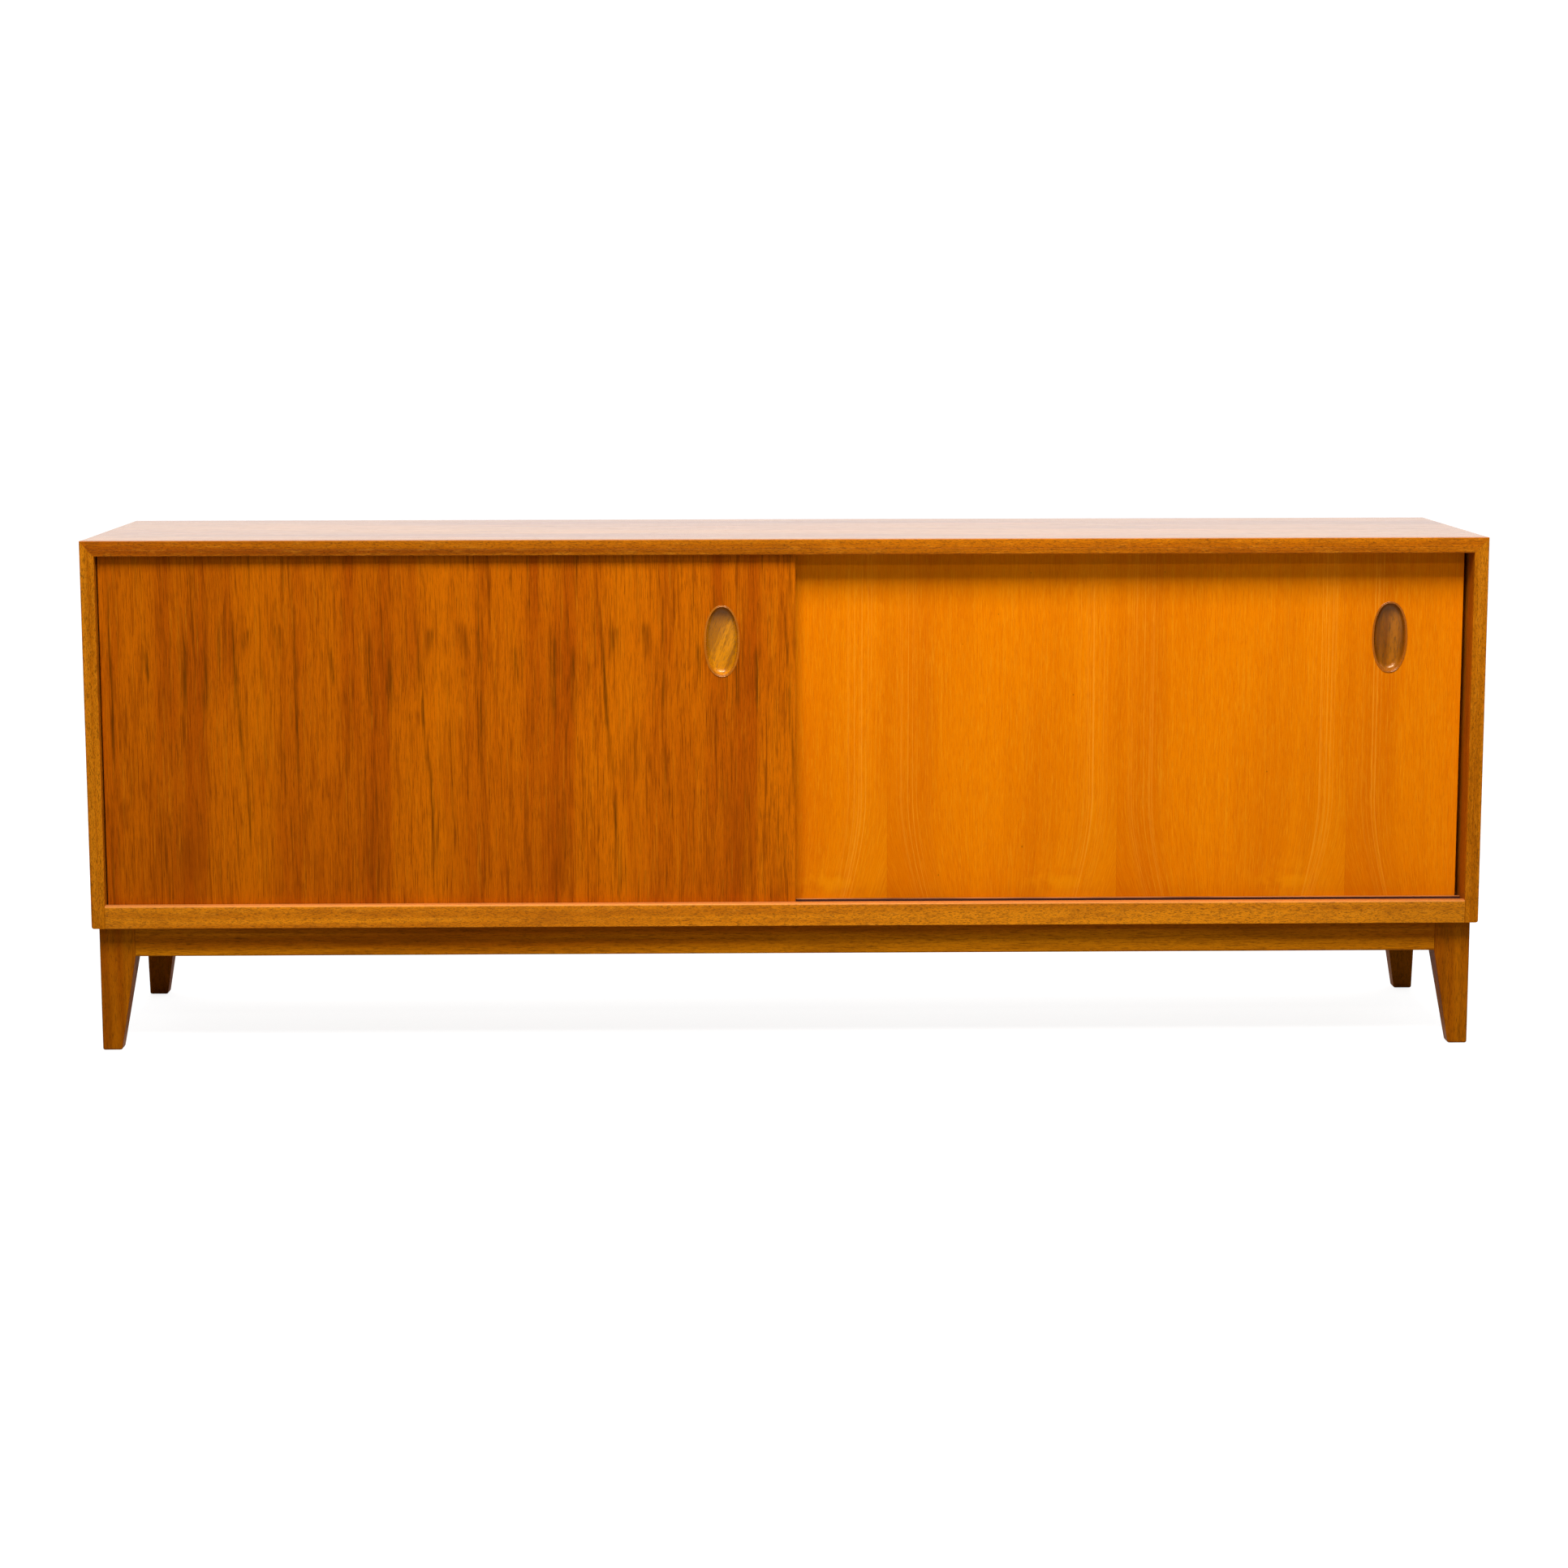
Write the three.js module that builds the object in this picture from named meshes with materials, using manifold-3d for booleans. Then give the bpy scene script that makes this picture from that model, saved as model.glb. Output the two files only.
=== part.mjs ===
// Sideboard buffet with two sliding doors on a low tapered-leg base.
// Millimetres, +Z up. The origin is on the floor under the middle of the sideboard;
// the doors face -Y and the long side runs along X.
import * as THREE from 'three';
import { mergeVertices } from 'three/addons/utils/BufferGeometryUtils.js';
import Module from 'manifold-3d';

// ---------------------------------------------------------------- driving dimensions
const WIDTH = 2000;
const DEPTH = 445;
const HEIGHT = 740;
const BASE_HEIGHT = 183;            // floor to the underside of the case

const TOP_THICKNESS = 22;
const SIDE_THICKNESS = 20;
const BOTTOM_THICKNESS = 22;
const DIVIDER_THICKNESS = 18;
const BACK_THICKNESS = 6;
const BACK_REBATE_SIDE = 10;        // how far the back panel reaches into each side
const BACK_REBATE_TOP = 11;         // and up into the top
const LIPPING_DEPTH = 13;           // solid wood edge in front of the boards
const RAIL_HEIGHT = 33;             // front rail under the doors
const INNER_ARRIS = 3;              // softened edge towards the doors
const OUTER_ARRIS = 1;              // softened outer edge
const MITRE_GAP = 0.15;             // glue line at the mitred top corners

const DOOR_WIDTH = 990.5;
const DOOR_THICKNESS = 19;
const DOOR_BOTTOM = 210;            // height of the door's lower edge over the floor
const DOOR_TOP = 724;               // upper edge, inside the groove of the top
const LEFT_DOOR_X = -978;           // left edge of each door, both doors closed
const RIGHT_DOOR_X = -16;
const FRONT_PLANE = 14;             // door faces, measured back from the case front
const REAR_PLANE = 42;
const GROOVES = [[13, 34], [41, 62]]; // front and rear door groove, measured the same way
const TRACK_BACK = 68;              // rear edge of the bottom track
const TRACK_FLOOR = 208;            // groove floor over the floor
const GROOVE_CEILING = 732;         // upper groove: 8 mm over the doors, so they lift out

const PULL_SEMI_WIDTH = 25.5;       // oval rim of the recessed pull
const PULL_SEMI_HEIGHT = 51.5;
const PULL_RIM = 4;                 // width of the rim
const PULL_FLANGE = 1.5;            // how far the rim laps over the door
const PULL_PROUD = 1;               // how far the rim stands out of the door
const PULL_BODY_DEPTH = 14;
const PULL_BOWL_DEPTH = 11.5;
const PULL_FROM_EDGE = 105;         // centre to the door's right edge
const PULL_HEIGHT = 594;            // centre over the floor

const GLIDE = { length: 40, width: 12, height: 1.75, fromEnd: 80 };
const SHELF = { thickness: 18, bottom: 452, front: 80, back: 435, sideGap: 1 };
const PIN = { radius: 2.5, length: 16, inset: 8, fromEdge: 50 };

const LEG_INSET_X = 6.5;            // leg's outer face, in from the side
const LEG_INSET_FRONT = 21;         // front leg's front face, back from the case front
const LEG_INSET_BACK = 12;          // rear leg's back face, in from the case back
const LEG_TOP = { width: 51.5, depth: 46 };
const LEG_FOOT = { width: 28, depth: 26 };
const APRON_HEIGHT = 45;
const APRON_THICKNESS = 20;
const APRON_SETBACK = 1;            // apron face behind the leg face
const CROSS_RAIL = { width: 30, height: 35 };
const CORNER_BLOCK = { height: 25, reach: 92.5 };

const BASE_SCREW = { headRadius: 4.5, headHeight: 3, shankRadius: 2.2, length: 40 };
const BACK_SCREW = { headRadius: 3.4, headHeight: 2, shankRadius: 1.5, length: 18 };
const HOLE_CLEARANCE = 0.2;

// ---------------------------------------------------------------- worked out from them
const HALF_WIDTH = WIDTH / 2;
const INNER_X = HALF_WIDTH - SIDE_THICKNESS;
const TOP_UNDERSIDE = HEIGHT - TOP_THICKNESS;
const RAIL_TOP = BASE_HEIGHT + RAIL_HEIGHT;
const FLOOR_BOARD_TOP = BASE_HEIGHT + BOTTOM_THICKNESS;
const BACK_FRONT = DEPTH - BACK_THICKNESS;
const APRON_BOTTOM = BASE_HEIGHT - APRON_HEIGHT;
const LEG_OUTER_X = HALF_WIDTH - LEG_INSET_X;
const LEG_INNER_X = LEG_OUTER_X - LEG_TOP.width;
const SHELF_PIN_Z = SHELF.bottom - PIN.radius - 0.1;

// Depths are measured back from the case front; this gives the Y of one.
const fromFront = (depth) => depth - DEPTH / 2;

const wasm = await Module();
wasm.setup();

// ---------------------------------------------------------------- finishes
const finish = (color, roughness, metalness = 0) => ({ color, roughness, metalness });
const FINISHES = {
  doorDark: finish(0xa65408, 0.45),
  doorLight: finish(0xd8780a, 0.45),
  lipping: finish(0xb96a08, 0.45),
  carcass: finish(0xb4660c, 0.5),
  base: finish(0x8e4c06, 0.5),
  inside: finish(0xc08a50, 0.6),
  backPly: finish(0xb58a58, 0.7),
  pullWood: finish(0xc9852c, 0.4),
  hiddenWood: finish(0xb98d57, 0.75),
  nylon: finish(0xdedbd0, 0.5),
  brass: finish(0xb08d45, 0.35, 0.9),
  steel: finish(0x9a9a9a, 0.4, 0.9),
};

const sideboard = new THREE.Group();

function addPiece(name, geometry, finishName, position = [0, 0, 0]) {
  const mesh = new THREE.Mesh(geometry, new THREE.MeshStandardMaterial(FINISHES[finishName]));
  mesh.name = name;
  mesh.position.set(...position);
  sideboard.add(mesh);
}

// ---------------------------------------------------------------- shape helpers
// A board given by its limits: x, depth from the case front, height.
function board([x0, x1], [d0, d1], [z0, z1]) {
  const box = new THREE.BoxGeometry(x1 - x0, d1 - d0, z1 - z0);
  box.translate((x0 + x1) / 2, fromFront((d0 + d1) / 2), (z0 + z1) / 2);
  return box;
}

function shapeFrom(points) {
  return new THREE.Shape(points.map(([a, b]) => new THREE.Vector2(a, b)));
}

// An outline in (depth, height), run along X from x0 to x1.
function alongX(points, x0, x1) {
  const outline = points.map(([depth, z]) => [fromFront(depth), z]);
  const bar = new THREE.ExtrudeGeometry(shapeFrom(outline), { depth: x1 - x0, bevelEnabled: false });
  const turn = new THREE.Matrix4().makeBasis(
    new THREE.Vector3(0, 1, 0), new THREE.Vector3(0, 0, 1), new THREE.Vector3(1, 0, 0));
  return bar.applyMatrix4(turn).translate(x0, 0, 0);
}

// An outline in (x, depth), run up from z0 to z1.
function alongZ(points, z0, z1) {
  const outline = points.map(([x, depth]) => [x, fromFront(depth)]);
  const bar = new THREE.ExtrudeGeometry(shapeFrom(outline), { depth: z1 - z0, bevelEnabled: false });
  return bar.translate(0, 0, z0);
}

// Points of a quarter-round arris at a corner, from one side of it to the other.
function arris(corner, centre, steps = 3) {
  const radius = Math.abs(corner[0] - centre[0]);
  const from = Math.atan2(corner[1] - centre[1], corner[0] - centre[0]) - Math.PI / 4;
  return Array.from({ length: steps + 1 }, (_, i) => {
    const angle = from + (Math.PI / 2) * (i / steps);
    return [centre[0] + radius * Math.cos(angle), centre[1] + radius * Math.sin(angle)];
  });
}

// Slants both ends of a piece that runs along X, so that it meets the sides in a mitre.
function mitreTopEnds(geometry) {
  const slope = SIDE_THICKNESS / TOP_THICKNESS;
  const position = geometry.attributes.position;
  for (let i = 0; i < position.count; i += 1) {
    const reach = HALF_WIDTH - (HEIGHT - position.getZ(i)) * slope;
    position.setX(i, Math.sign(position.getX(i)) * reach);
  }
  geometry.computeVertexNormals();
  return geometry;
}

// Slants the upper end of a piece that stands at a side, to meet the top in a mitre.
function mitreSideEnd(geometry) {
  const slope = TOP_THICKNESS / SIDE_THICKNESS;
  const position = geometry.attributes.position;
  for (let i = 0; i < position.count; i += 1) {
    if (position.getZ(i) < HEIGHT - 1) continue;
    const inward = HALF_WIDTH - Math.abs(position.getX(i));
    position.setZ(i, HEIGHT - MITRE_GAP - inward * slope);
  }
  geometry.computeVertexNormals();
  return geometry;
}

function solidFrom(geometry) {
  const bare = geometry.clone();
  bare.deleteAttribute('normal');
  bare.deleteAttribute('uv');
  const merged = mergeVertices(bare);
  return new wasm.Manifold(new wasm.Mesh({
    numProp: 3,
    vertProperties: Float32Array.from(merged.attributes.position.array),
    triVerts: Uint32Array.from(merged.index.array),
  }));
}

function geometryFrom(solid) {
  const { vertProperties, triVerts } = solid.getMesh();
  const geometry = new THREE.BufferGeometry();
  geometry.setAttribute('position', new THREE.BufferAttribute(vertProperties, 3));
  geometry.setIndex(new THREE.BufferAttribute(triVerts, 1));
  geometry.computeVertexNormals();
  return geometry;
}

function cutFrom(geometry, cutters) {
  const solid = cutters.reduce((rest, cutter) => rest.subtract(solidFrom(cutter)), solidFrom(geometry));
  return geometryFrom(solid);
}

// A screw that points up +Z: round head below, plain shank above; grow widens it for its hole.
function screwShape({ headRadius, headHeight, shankRadius, length }, grow = 0) {
  const profile = [
    [0, -headHeight - grow], [headRadius + grow, -headHeight - grow], [headRadius + grow, grow],
    [shankRadius + grow, grow], [shankRadius + grow, length + grow], [0, length + grow],
  ].map(([radius, along]) => new THREE.Vector2(radius, along));
  return new THREE.LatheGeometry(profile, 12).rotateX(Math.PI / 2);
}

// ---------------------------------------------------------------- where the fasteners go
const shelfPins = [];
for (const side of [-1, 1]) {
  const name = side < 0 ? 'left' : 'right';
  const walls = [side * INNER_X, side * (DIVIDER_THICKNESS / 2)];
  const depths = [SHELF.front + PIN.fromEdge, SHELF.back - PIN.fromEdge];
  walls.forEach((wall, w) => depths.forEach((depth, d) => {
    const outward = w === 0 ? -side : side;    // from the wall into the bay
    shelfPins.push({ name: `${name}_shelf_pin_${w * 2 + d + 1}`, wall, outward, depth });
  }));
}

const backScrews = [
  ...[-1, 1].flatMap((side) => [240, 455, 670].map((z) => [side * (INNER_X + BACK_REBATE_SIDE / 2), z])),
  ...[-1, 1].map((side) => [side * 480, BASE_HEIGHT + BOTTOM_THICKNESS / 2]),
  ...[-1, 1].map((side) => [side * 480, TOP_UNDERSIDE + BACK_REBATE_TOP / 2]),
];

const baseCorners = [-1, 1].flatMap((side) => [
  { side, name: side < 0 ? 'front_left' : 'front_right', front: true },
  { side, name: side < 0 ? 'rear_left' : 'rear_right', front: false },
]);
const baseDepth = (corner, inset) => (corner.front ? LEG_INSET_FRONT + inset : DEPTH - LEG_INSET_BACK - inset);
const BASE_SCREW_INSET = { x: LEG_TOP.width + 18, depth: LEG_TOP.depth + 0.5 };
const baseScrewPlace = (corner) => [
  corner.side * (LEG_OUTER_X - BASE_SCREW_INSET.x),
  fromFront(baseDepth(corner, BASE_SCREW_INSET.depth)),
  BASE_HEIGHT - CORNER_BLOCK.height,
];

function pinShape(pin, grow = 0) {
  const shaft = new THREE.CylinderGeometry(PIN.radius + grow, PIN.radius + grow, PIN.length + grow, 16);
  const middle = pin.wall + pin.outward * (PIN.length / 2 - PIN.inset - grow / 2);
  return shaft.rotateZ(Math.PI / 2).translate(middle, fromFront(pin.depth), SHELF_PIN_Z);
}
const pinHoles = (wallX) => shelfPins
  .filter((pin) => Math.abs(pin.wall - wallX) < DIVIDER_THICKNESS / 2 + 1)
  .map((pin) => pinShape(pin, HOLE_CLEARANCE));
const backScrewShape = ([x, z], grow = 0) => screwShape(BACK_SCREW, grow)
  .rotateX(Math.PI / 2)
  .translate(x, fromFront(DEPTH - BACK_SCREW.headHeight - 2 * HOLE_CLEARANCE), z);
const backScrewHoles = (keep) => backScrews.filter(keep).map((place) => backScrewShape(place, HOLE_CLEARANCE));
const baseScrewShape = (corner, grow = 0) => screwShape(BASE_SCREW, grow)
  .translate(...baseScrewPlace(corner));

// ---------------------------------------------------------------- case boards
function topPanel() {
  const [front, rear] = GROOVES;
  const outline = [
    [LIPPING_DEPTH, GROOVE_CEILING], [front[1], GROOVE_CEILING], [front[1], TOP_UNDERSIDE],
    [rear[0], TOP_UNDERSIDE], [rear[0], GROOVE_CEILING], [rear[1], GROOVE_CEILING],
    [rear[1], TOP_UNDERSIDE], [BACK_FRONT, TOP_UNDERSIDE],
    [BACK_FRONT, TOP_UNDERSIDE + BACK_REBATE_TOP], [DEPTH, TOP_UNDERSIDE + BACK_REBATE_TOP],
    [DEPTH, HEIGHT], [LIPPING_DEPTH, HEIGHT],
  ];
  const blank = mitreTopEnds(alongX(outline, -HALF_WIDTH, HALF_WIDTH));
  return cutFrom(blank, backScrewHoles(([, z]) => z > TOP_UNDERSIDE));
}

function sidePanel(side) {
  const outline = [
    [HALF_WIDTH, LIPPING_DEPTH], [HALF_WIDTH, DEPTH], [INNER_X + BACK_REBATE_SIDE, DEPTH],
    [INNER_X + BACK_REBATE_SIDE, BACK_FRONT], [INNER_X, BACK_FRONT], [INNER_X, LIPPING_DEPTH],
  ].map(([x, depth]) => [side * x, depth]);
  const blank = mitreSideEnd(alongZ(outline, BASE_HEIGHT, HEIGHT));
  const screwHoles = backScrewHoles(([x]) => side * x > INNER_X);
  return cutFrom(blank, [...screwHoles, ...pinHoles(side * INNER_X)]);
}

function bottomPanel() {
  const blank = board([-INNER_X, INNER_X], [LIPPING_DEPTH, BACK_FRONT], [BASE_HEIGHT, FLOOR_BOARD_TOP]);
  return cutFrom(blank, [
    ...backScrewHoles(([, z]) => z < FLOOR_BOARD_TOP),
    ...baseCorners.map((corner) => baseScrewShape(corner, HOLE_CLEARANCE)),
  ]);
}

function backPanel() {
  const reach = INNER_X + BACK_REBATE_SIDE;
  const blank = board([-reach, reach], [BACK_FRONT, DEPTH], [BASE_HEIGHT, TOP_UNDERSIDE + BACK_REBATE_TOP]);
  return cutFrom(blank, backScrewHoles(() => true));
}

function centreDivider() {
  const half = DIVIDER_THICKNESS / 2;
  const blank = board([-half, half], [TRACK_BACK, BACK_FRONT], [FLOOR_BOARD_TOP, TOP_UNDERSIDE]);
  return cutFrom(blank, pinHoles(0));
}

addPiece('top_panel', topPanel(), 'carcass');
addPiece('left_side_panel', sidePanel(-1), 'carcass');
addPiece('right_side_panel', sidePanel(1), 'carcass');
addPiece('bottom_panel', bottomPanel(), 'inside');
addPiece('back_panel', backPanel(), 'backPly');
addPiece('centre_divider', centreDivider(), 'inside');

// ---------------------------------------------------------------- front edges and door track
function topLipping() {
  const outline = [
    ...arris([0, TOP_UNDERSIDE], [INNER_ARRIS, TOP_UNDERSIDE + INNER_ARRIS]).reverse(),
    ...arris([0, HEIGHT], [OUTER_ARRIS, HEIGHT - OUTER_ARRIS]).reverse(),
    [LIPPING_DEPTH, HEIGHT], [LIPPING_DEPTH, TOP_UNDERSIDE],
  ];
  return mitreTopEnds(alongX(outline, -HALF_WIDTH, HALF_WIDTH));
}

function sideLipping(side) {
  const outline = [
    ...arris([INNER_X, 0], [INNER_X + INNER_ARRIS, INNER_ARRIS]),
    ...arris([HALF_WIDTH, 0], [HALF_WIDTH - OUTER_ARRIS, OUTER_ARRIS]),
    [HALF_WIDTH, LIPPING_DEPTH], [INNER_X, LIPPING_DEPTH],
  ].map(([x, depth]) => [side * x, depth]);
  return mitreSideEnd(alongZ(outline, BASE_HEIGHT, HEIGHT));
}

function bottomRail() {
  const outline = [
    [LIPPING_DEPTH, BASE_HEIGHT], [LIPPING_DEPTH, RAIL_TOP],
    ...arris([0, RAIL_TOP], [INNER_ARRIS, RAIL_TOP - INNER_ARRIS]), [0, BASE_HEIGHT],
  ];
  return alongX(outline, -INNER_X, INNER_X);
}

function bottomTrack() {
  const [front, rear] = GROOVES;
  const outline = [
    [front[0], FLOOR_BOARD_TOP], [TRACK_BACK, FLOOR_BOARD_TOP], [TRACK_BACK, RAIL_TOP],
    [rear[1], RAIL_TOP], [rear[1], TRACK_FLOOR], [rear[0], TRACK_FLOOR], [rear[0], RAIL_TOP],
    [front[1], RAIL_TOP], [front[1], TRACK_FLOOR], [front[0], TRACK_FLOOR],
  ];
  return alongX(outline, -INNER_X, INNER_X);
}

addPiece('top_lipping', topLipping(), 'lipping');
addPiece('left_lipping', sideLipping(-1), 'lipping');
addPiece('right_lipping', sideLipping(1), 'lipping');
addPiece('bottom_rail', bottomRail(), 'lipping');
addPiece('bottom_track', bottomTrack(), 'hiddenWood');

// ---------------------------------------------------------------- sliding doors
// The pull is a turned bowl stretched to an oval: each ring is [semi-width, semi-height, depth],
// with depth counted into the door from its face.
function pullGeometry() {
  const bowlSteps = 6;
  const mouthWidth = PULL_SEMI_WIDTH - PULL_RIM;
  const mouthHeight = PULL_SEMI_HEIGHT - PULL_RIM;
  const bowl = Array.from({ length: bowlSteps + 1 }, (_, i) => {
    const angle = (Math.PI / 2) * (i / bowlSteps);
    const spread = Math.sin(angle) ** 0.8;
    const depth = PULL_BOWL_DEPTH * Math.cos(angle) - PULL_PROUD * Math.sin(angle);
    return [mouthWidth * spread, mouthHeight * spread, depth];
  });
  const bodyWidth = PULL_SEMI_WIDTH - PULL_FLANGE;
  const bodyHeight = PULL_SEMI_HEIGHT - PULL_FLANGE;
  const rings = [
    ...bowl,
    [PULL_SEMI_WIDTH - 1, PULL_SEMI_HEIGHT - 1, -PULL_PROUD],
    [PULL_SEMI_WIDTH, PULL_SEMI_HEIGHT, -PULL_PROUD / 2],
    [PULL_SEMI_WIDTH, PULL_SEMI_HEIGHT, -MITRE_GAP],
    [bodyWidth, bodyHeight, -MITRE_GAP],
    [bodyWidth, bodyHeight, PULL_BODY_DEPTH],
    [0, 0, PULL_BODY_DEPTH],
  ];
  const profile = rings.map(([semiWidth, , depth]) => new THREE.Vector2(semiWidth, depth));
  const cup = new THREE.LatheGeometry(profile, 40);
  const position = cup.attributes.position;
  for (let i = 0; i < position.count; i += 1) {
    const [semiWidth, semiHeight] = rings[i % rings.length];
    if (semiWidth > 0) position.setZ(i, position.getZ(i) * (semiHeight / semiWidth));
  }
  cup.computeVertexNormals();
  return cup;
}

function pullPocket(x, plane) {
  const semiWidth = PULL_SEMI_WIDTH - PULL_FLANGE + HOLE_CLEARANCE;
  const semiHeight = PULL_SEMI_HEIGHT - PULL_FLANGE + HOLE_CLEARANCE;
  const oval = new THREE.CylinderGeometry(1, 1, 2 * (PULL_BODY_DEPTH + HOLE_CLEARANCE), 40);
  return oval.scale(semiWidth, 1, semiHeight).translate(x, fromFront(plane), PULL_HEIGHT);
}

function addDoor(name, left, plane, finishName) {
  const pullX = left + DOOR_WIDTH - PULL_FROM_EDGE;
  const blank = board([left, left + DOOR_WIDTH], [plane, plane + DOOR_THICKNESS], [DOOR_BOTTOM, DOOR_TOP]);
  addPiece(name, cutFrom(blank, [pullPocket(pullX, plane)]), finishName);
  addPiece(`${name}_pull`, pullGeometry(), 'pullWood', [pullX, fromFront(plane), PULL_HEIGHT]);
  const glide = new THREE.BoxGeometry(GLIDE.length, GLIDE.width, GLIDE.height);
  [left + GLIDE.fromEnd, left + DOOR_WIDTH - GLIDE.fromEnd].forEach((x, i) => {
    const place = [x, fromFront(plane + DOOR_THICKNESS / 2), DOOR_BOTTOM - GLIDE.height / 2];
    addPiece(`${name}_glide_${i + 1}`, glide, 'nylon', place);
  });
}

addDoor('left_door', LEFT_DOOR_X, FRONT_PLANE, 'doorDark');
addDoor('right_door', RIGHT_DOOR_X, REAR_PLANE, 'doorLight');

// ---------------------------------------------------------------- shelves on loose pins
for (const side of [-1, 1]) {
  const near = side * (DIVIDER_THICKNESS / 2 + SHELF.sideGap);
  const far = side * (INNER_X - SHELF.sideGap);
  const shelf = board([Math.min(near, far), Math.max(near, far)], [SHELF.front, SHELF.back],
    [SHELF.bottom, SHELF.bottom + SHELF.thickness]);
  addPiece(side < 0 ? 'left_shelf' : 'right_shelf', shelf, 'inside');
}
shelfPins.forEach((pin) => addPiece(pin.name, pinShape(pin), 'brass'));

// ---------------------------------------------------------------- base
// One face of the leg, straight beside the apron and tapered under it: [inward, height].
function legTaper(top, foot) {
  return [[0, 0], [0, BASE_HEIGHT], [top, BASE_HEIGHT], [top, APRON_BOTTOM], [foot, 0]];
}

function legGeometry({ side, front }) {
  const widthOutline = legTaper(LEG_TOP.width, LEG_FOOT.width)
    .map(([inward, z]) => [side * (LEG_OUTER_X - inward), z]);
  const depthOutline = legTaper(LEG_TOP.depth, LEG_FOOT.depth)
    .map(([inward, z]) => [front ? LEG_INSET_FRONT + inward : DEPTH - LEG_INSET_BACK - inward, z]);
  const acrossX = alongX(depthOutline, -HALF_WIDTH, HALF_WIDTH);
  const acrossY = new THREE.ExtrudeGeometry(shapeFrom(widthOutline), { depth: DEPTH, bevelEnabled: false })
    .rotateX(Math.PI / 2).translate(0, DEPTH / 2, 0);
  return geometryFrom(solidFrom(acrossX).intersect(solidFrom(acrossY)));
}

// A glue block behind a leg, notched round the leg's inner corner.
function cornerBlock({ side, front }) {
  const reachX = LEG_OUTER_X - APRON_SETBACK - APRON_THICKNESS;
  const apronBack = APRON_SETBACK + APRON_THICKNESS;
  const depth = (inset) => (front ? LEG_INSET_FRONT + inset : DEPTH - LEG_INSET_BACK - inset);
  const outline = [
    [LEG_INNER_X, depth(apronBack)], [reachX - CORNER_BLOCK.reach, depth(apronBack)],
    [reachX, depth(apronBack + CORNER_BLOCK.reach)], [reachX, depth(LEG_TOP.depth)],
    [LEG_INNER_X, depth(LEG_TOP.depth)],
  ].map(([x, d]) => [side * x, d]);
  return alongZ(outline, BASE_HEIGHT - CORNER_BLOCK.height, BASE_HEIGHT);
}

baseCorners.forEach((corner) => {
  addPiece(`${corner.name}_leg`, legGeometry(corner), 'base');
  const hole = baseScrewShape(corner, HOLE_CLEARANCE);
  addPiece(`${corner.name}_corner_block`, cutFrom(cornerBlock(corner), [hole]), 'hiddenWood');
  addPiece(`${corner.name}_base_screw`, baseScrewShape(corner), 'steel');
});

const apronZ = [APRON_BOTTOM, BASE_HEIGHT];
const frontApronDepth = [LEG_INSET_FRONT + APRON_SETBACK, LEG_INSET_FRONT + APRON_SETBACK + APRON_THICKNESS];
const rearFace = DEPTH - LEG_INSET_BACK - APRON_SETBACK;
const rearApronDepth = [rearFace - APRON_THICKNESS, rearFace];
const sideApronDepth = [LEG_INSET_FRONT + LEG_TOP.depth, DEPTH - LEG_INSET_BACK - LEG_TOP.depth];
const sideApronX = [LEG_OUTER_X - APRON_SETBACK - APRON_THICKNESS, LEG_OUTER_X - APRON_SETBACK];
const halfRail = CROSS_RAIL.width / 2;

addPiece('front_apron', board([-LEG_INNER_X, LEG_INNER_X], frontApronDepth, apronZ), 'base');
addPiece('rear_apron', board([-LEG_INNER_X, LEG_INNER_X], rearApronDepth, apronZ), 'base');
addPiece('left_apron', board([-sideApronX[1], -sideApronX[0]], sideApronDepth, apronZ), 'base');
addPiece('right_apron', board(sideApronX, sideApronDepth, apronZ), 'base');
addPiece('centre_cross_rail', board([-halfRail, halfRail], [frontApronDepth[1], rearApronDepth[0]],
  [BASE_HEIGHT - CROSS_RAIL.height, BASE_HEIGHT]), 'hiddenWood');

backScrews.forEach((place, i) => addPiece(`back_screw_${i + 1}`, backScrewShape(place), 'steel'));

export default sideboard;
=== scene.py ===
"""Sideboard buffet with two sliding doors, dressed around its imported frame. Metres, +Z up."""
import math

import bmesh
import bpy
from bpy.props import FloatProperty, FloatVectorProperty, PointerProperty
from mathutils import Matrix, Vector


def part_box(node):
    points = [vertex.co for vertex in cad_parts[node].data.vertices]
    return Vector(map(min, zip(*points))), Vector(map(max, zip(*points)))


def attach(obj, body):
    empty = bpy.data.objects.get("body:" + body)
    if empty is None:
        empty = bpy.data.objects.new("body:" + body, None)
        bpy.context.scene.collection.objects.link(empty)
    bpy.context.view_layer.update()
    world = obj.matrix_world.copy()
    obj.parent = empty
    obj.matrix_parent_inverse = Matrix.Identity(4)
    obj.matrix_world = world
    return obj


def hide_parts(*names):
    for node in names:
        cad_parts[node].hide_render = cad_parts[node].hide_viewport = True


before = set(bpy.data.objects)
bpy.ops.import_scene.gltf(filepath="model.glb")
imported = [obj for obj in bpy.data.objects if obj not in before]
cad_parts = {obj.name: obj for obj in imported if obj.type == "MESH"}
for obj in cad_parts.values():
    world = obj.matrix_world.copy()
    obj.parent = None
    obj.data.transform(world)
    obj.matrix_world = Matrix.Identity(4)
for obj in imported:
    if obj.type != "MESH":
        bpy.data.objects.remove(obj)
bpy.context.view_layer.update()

bl_info = {
    "name": "Sideboard Buffet",
    "version": (1, 0, 0),
    "blender": (4, 5, 0),
    "location": "View3D > Sidebar > Sideboard",
    "description": "Builds the boards, doors, pulls and base of a sliding-door sideboard",
    "category": "Add Mesh",
}

MM = 0.001
TOUCHING = 0.01 * MM          # nearer than this counts as the same place
ROUND_STEPS = 4               # steps in a small quarter round
OVAL_STEPS = 96               # points round a pull
FINE = 800.0                  # streaks this fine, per metre, also dent the surface

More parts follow.
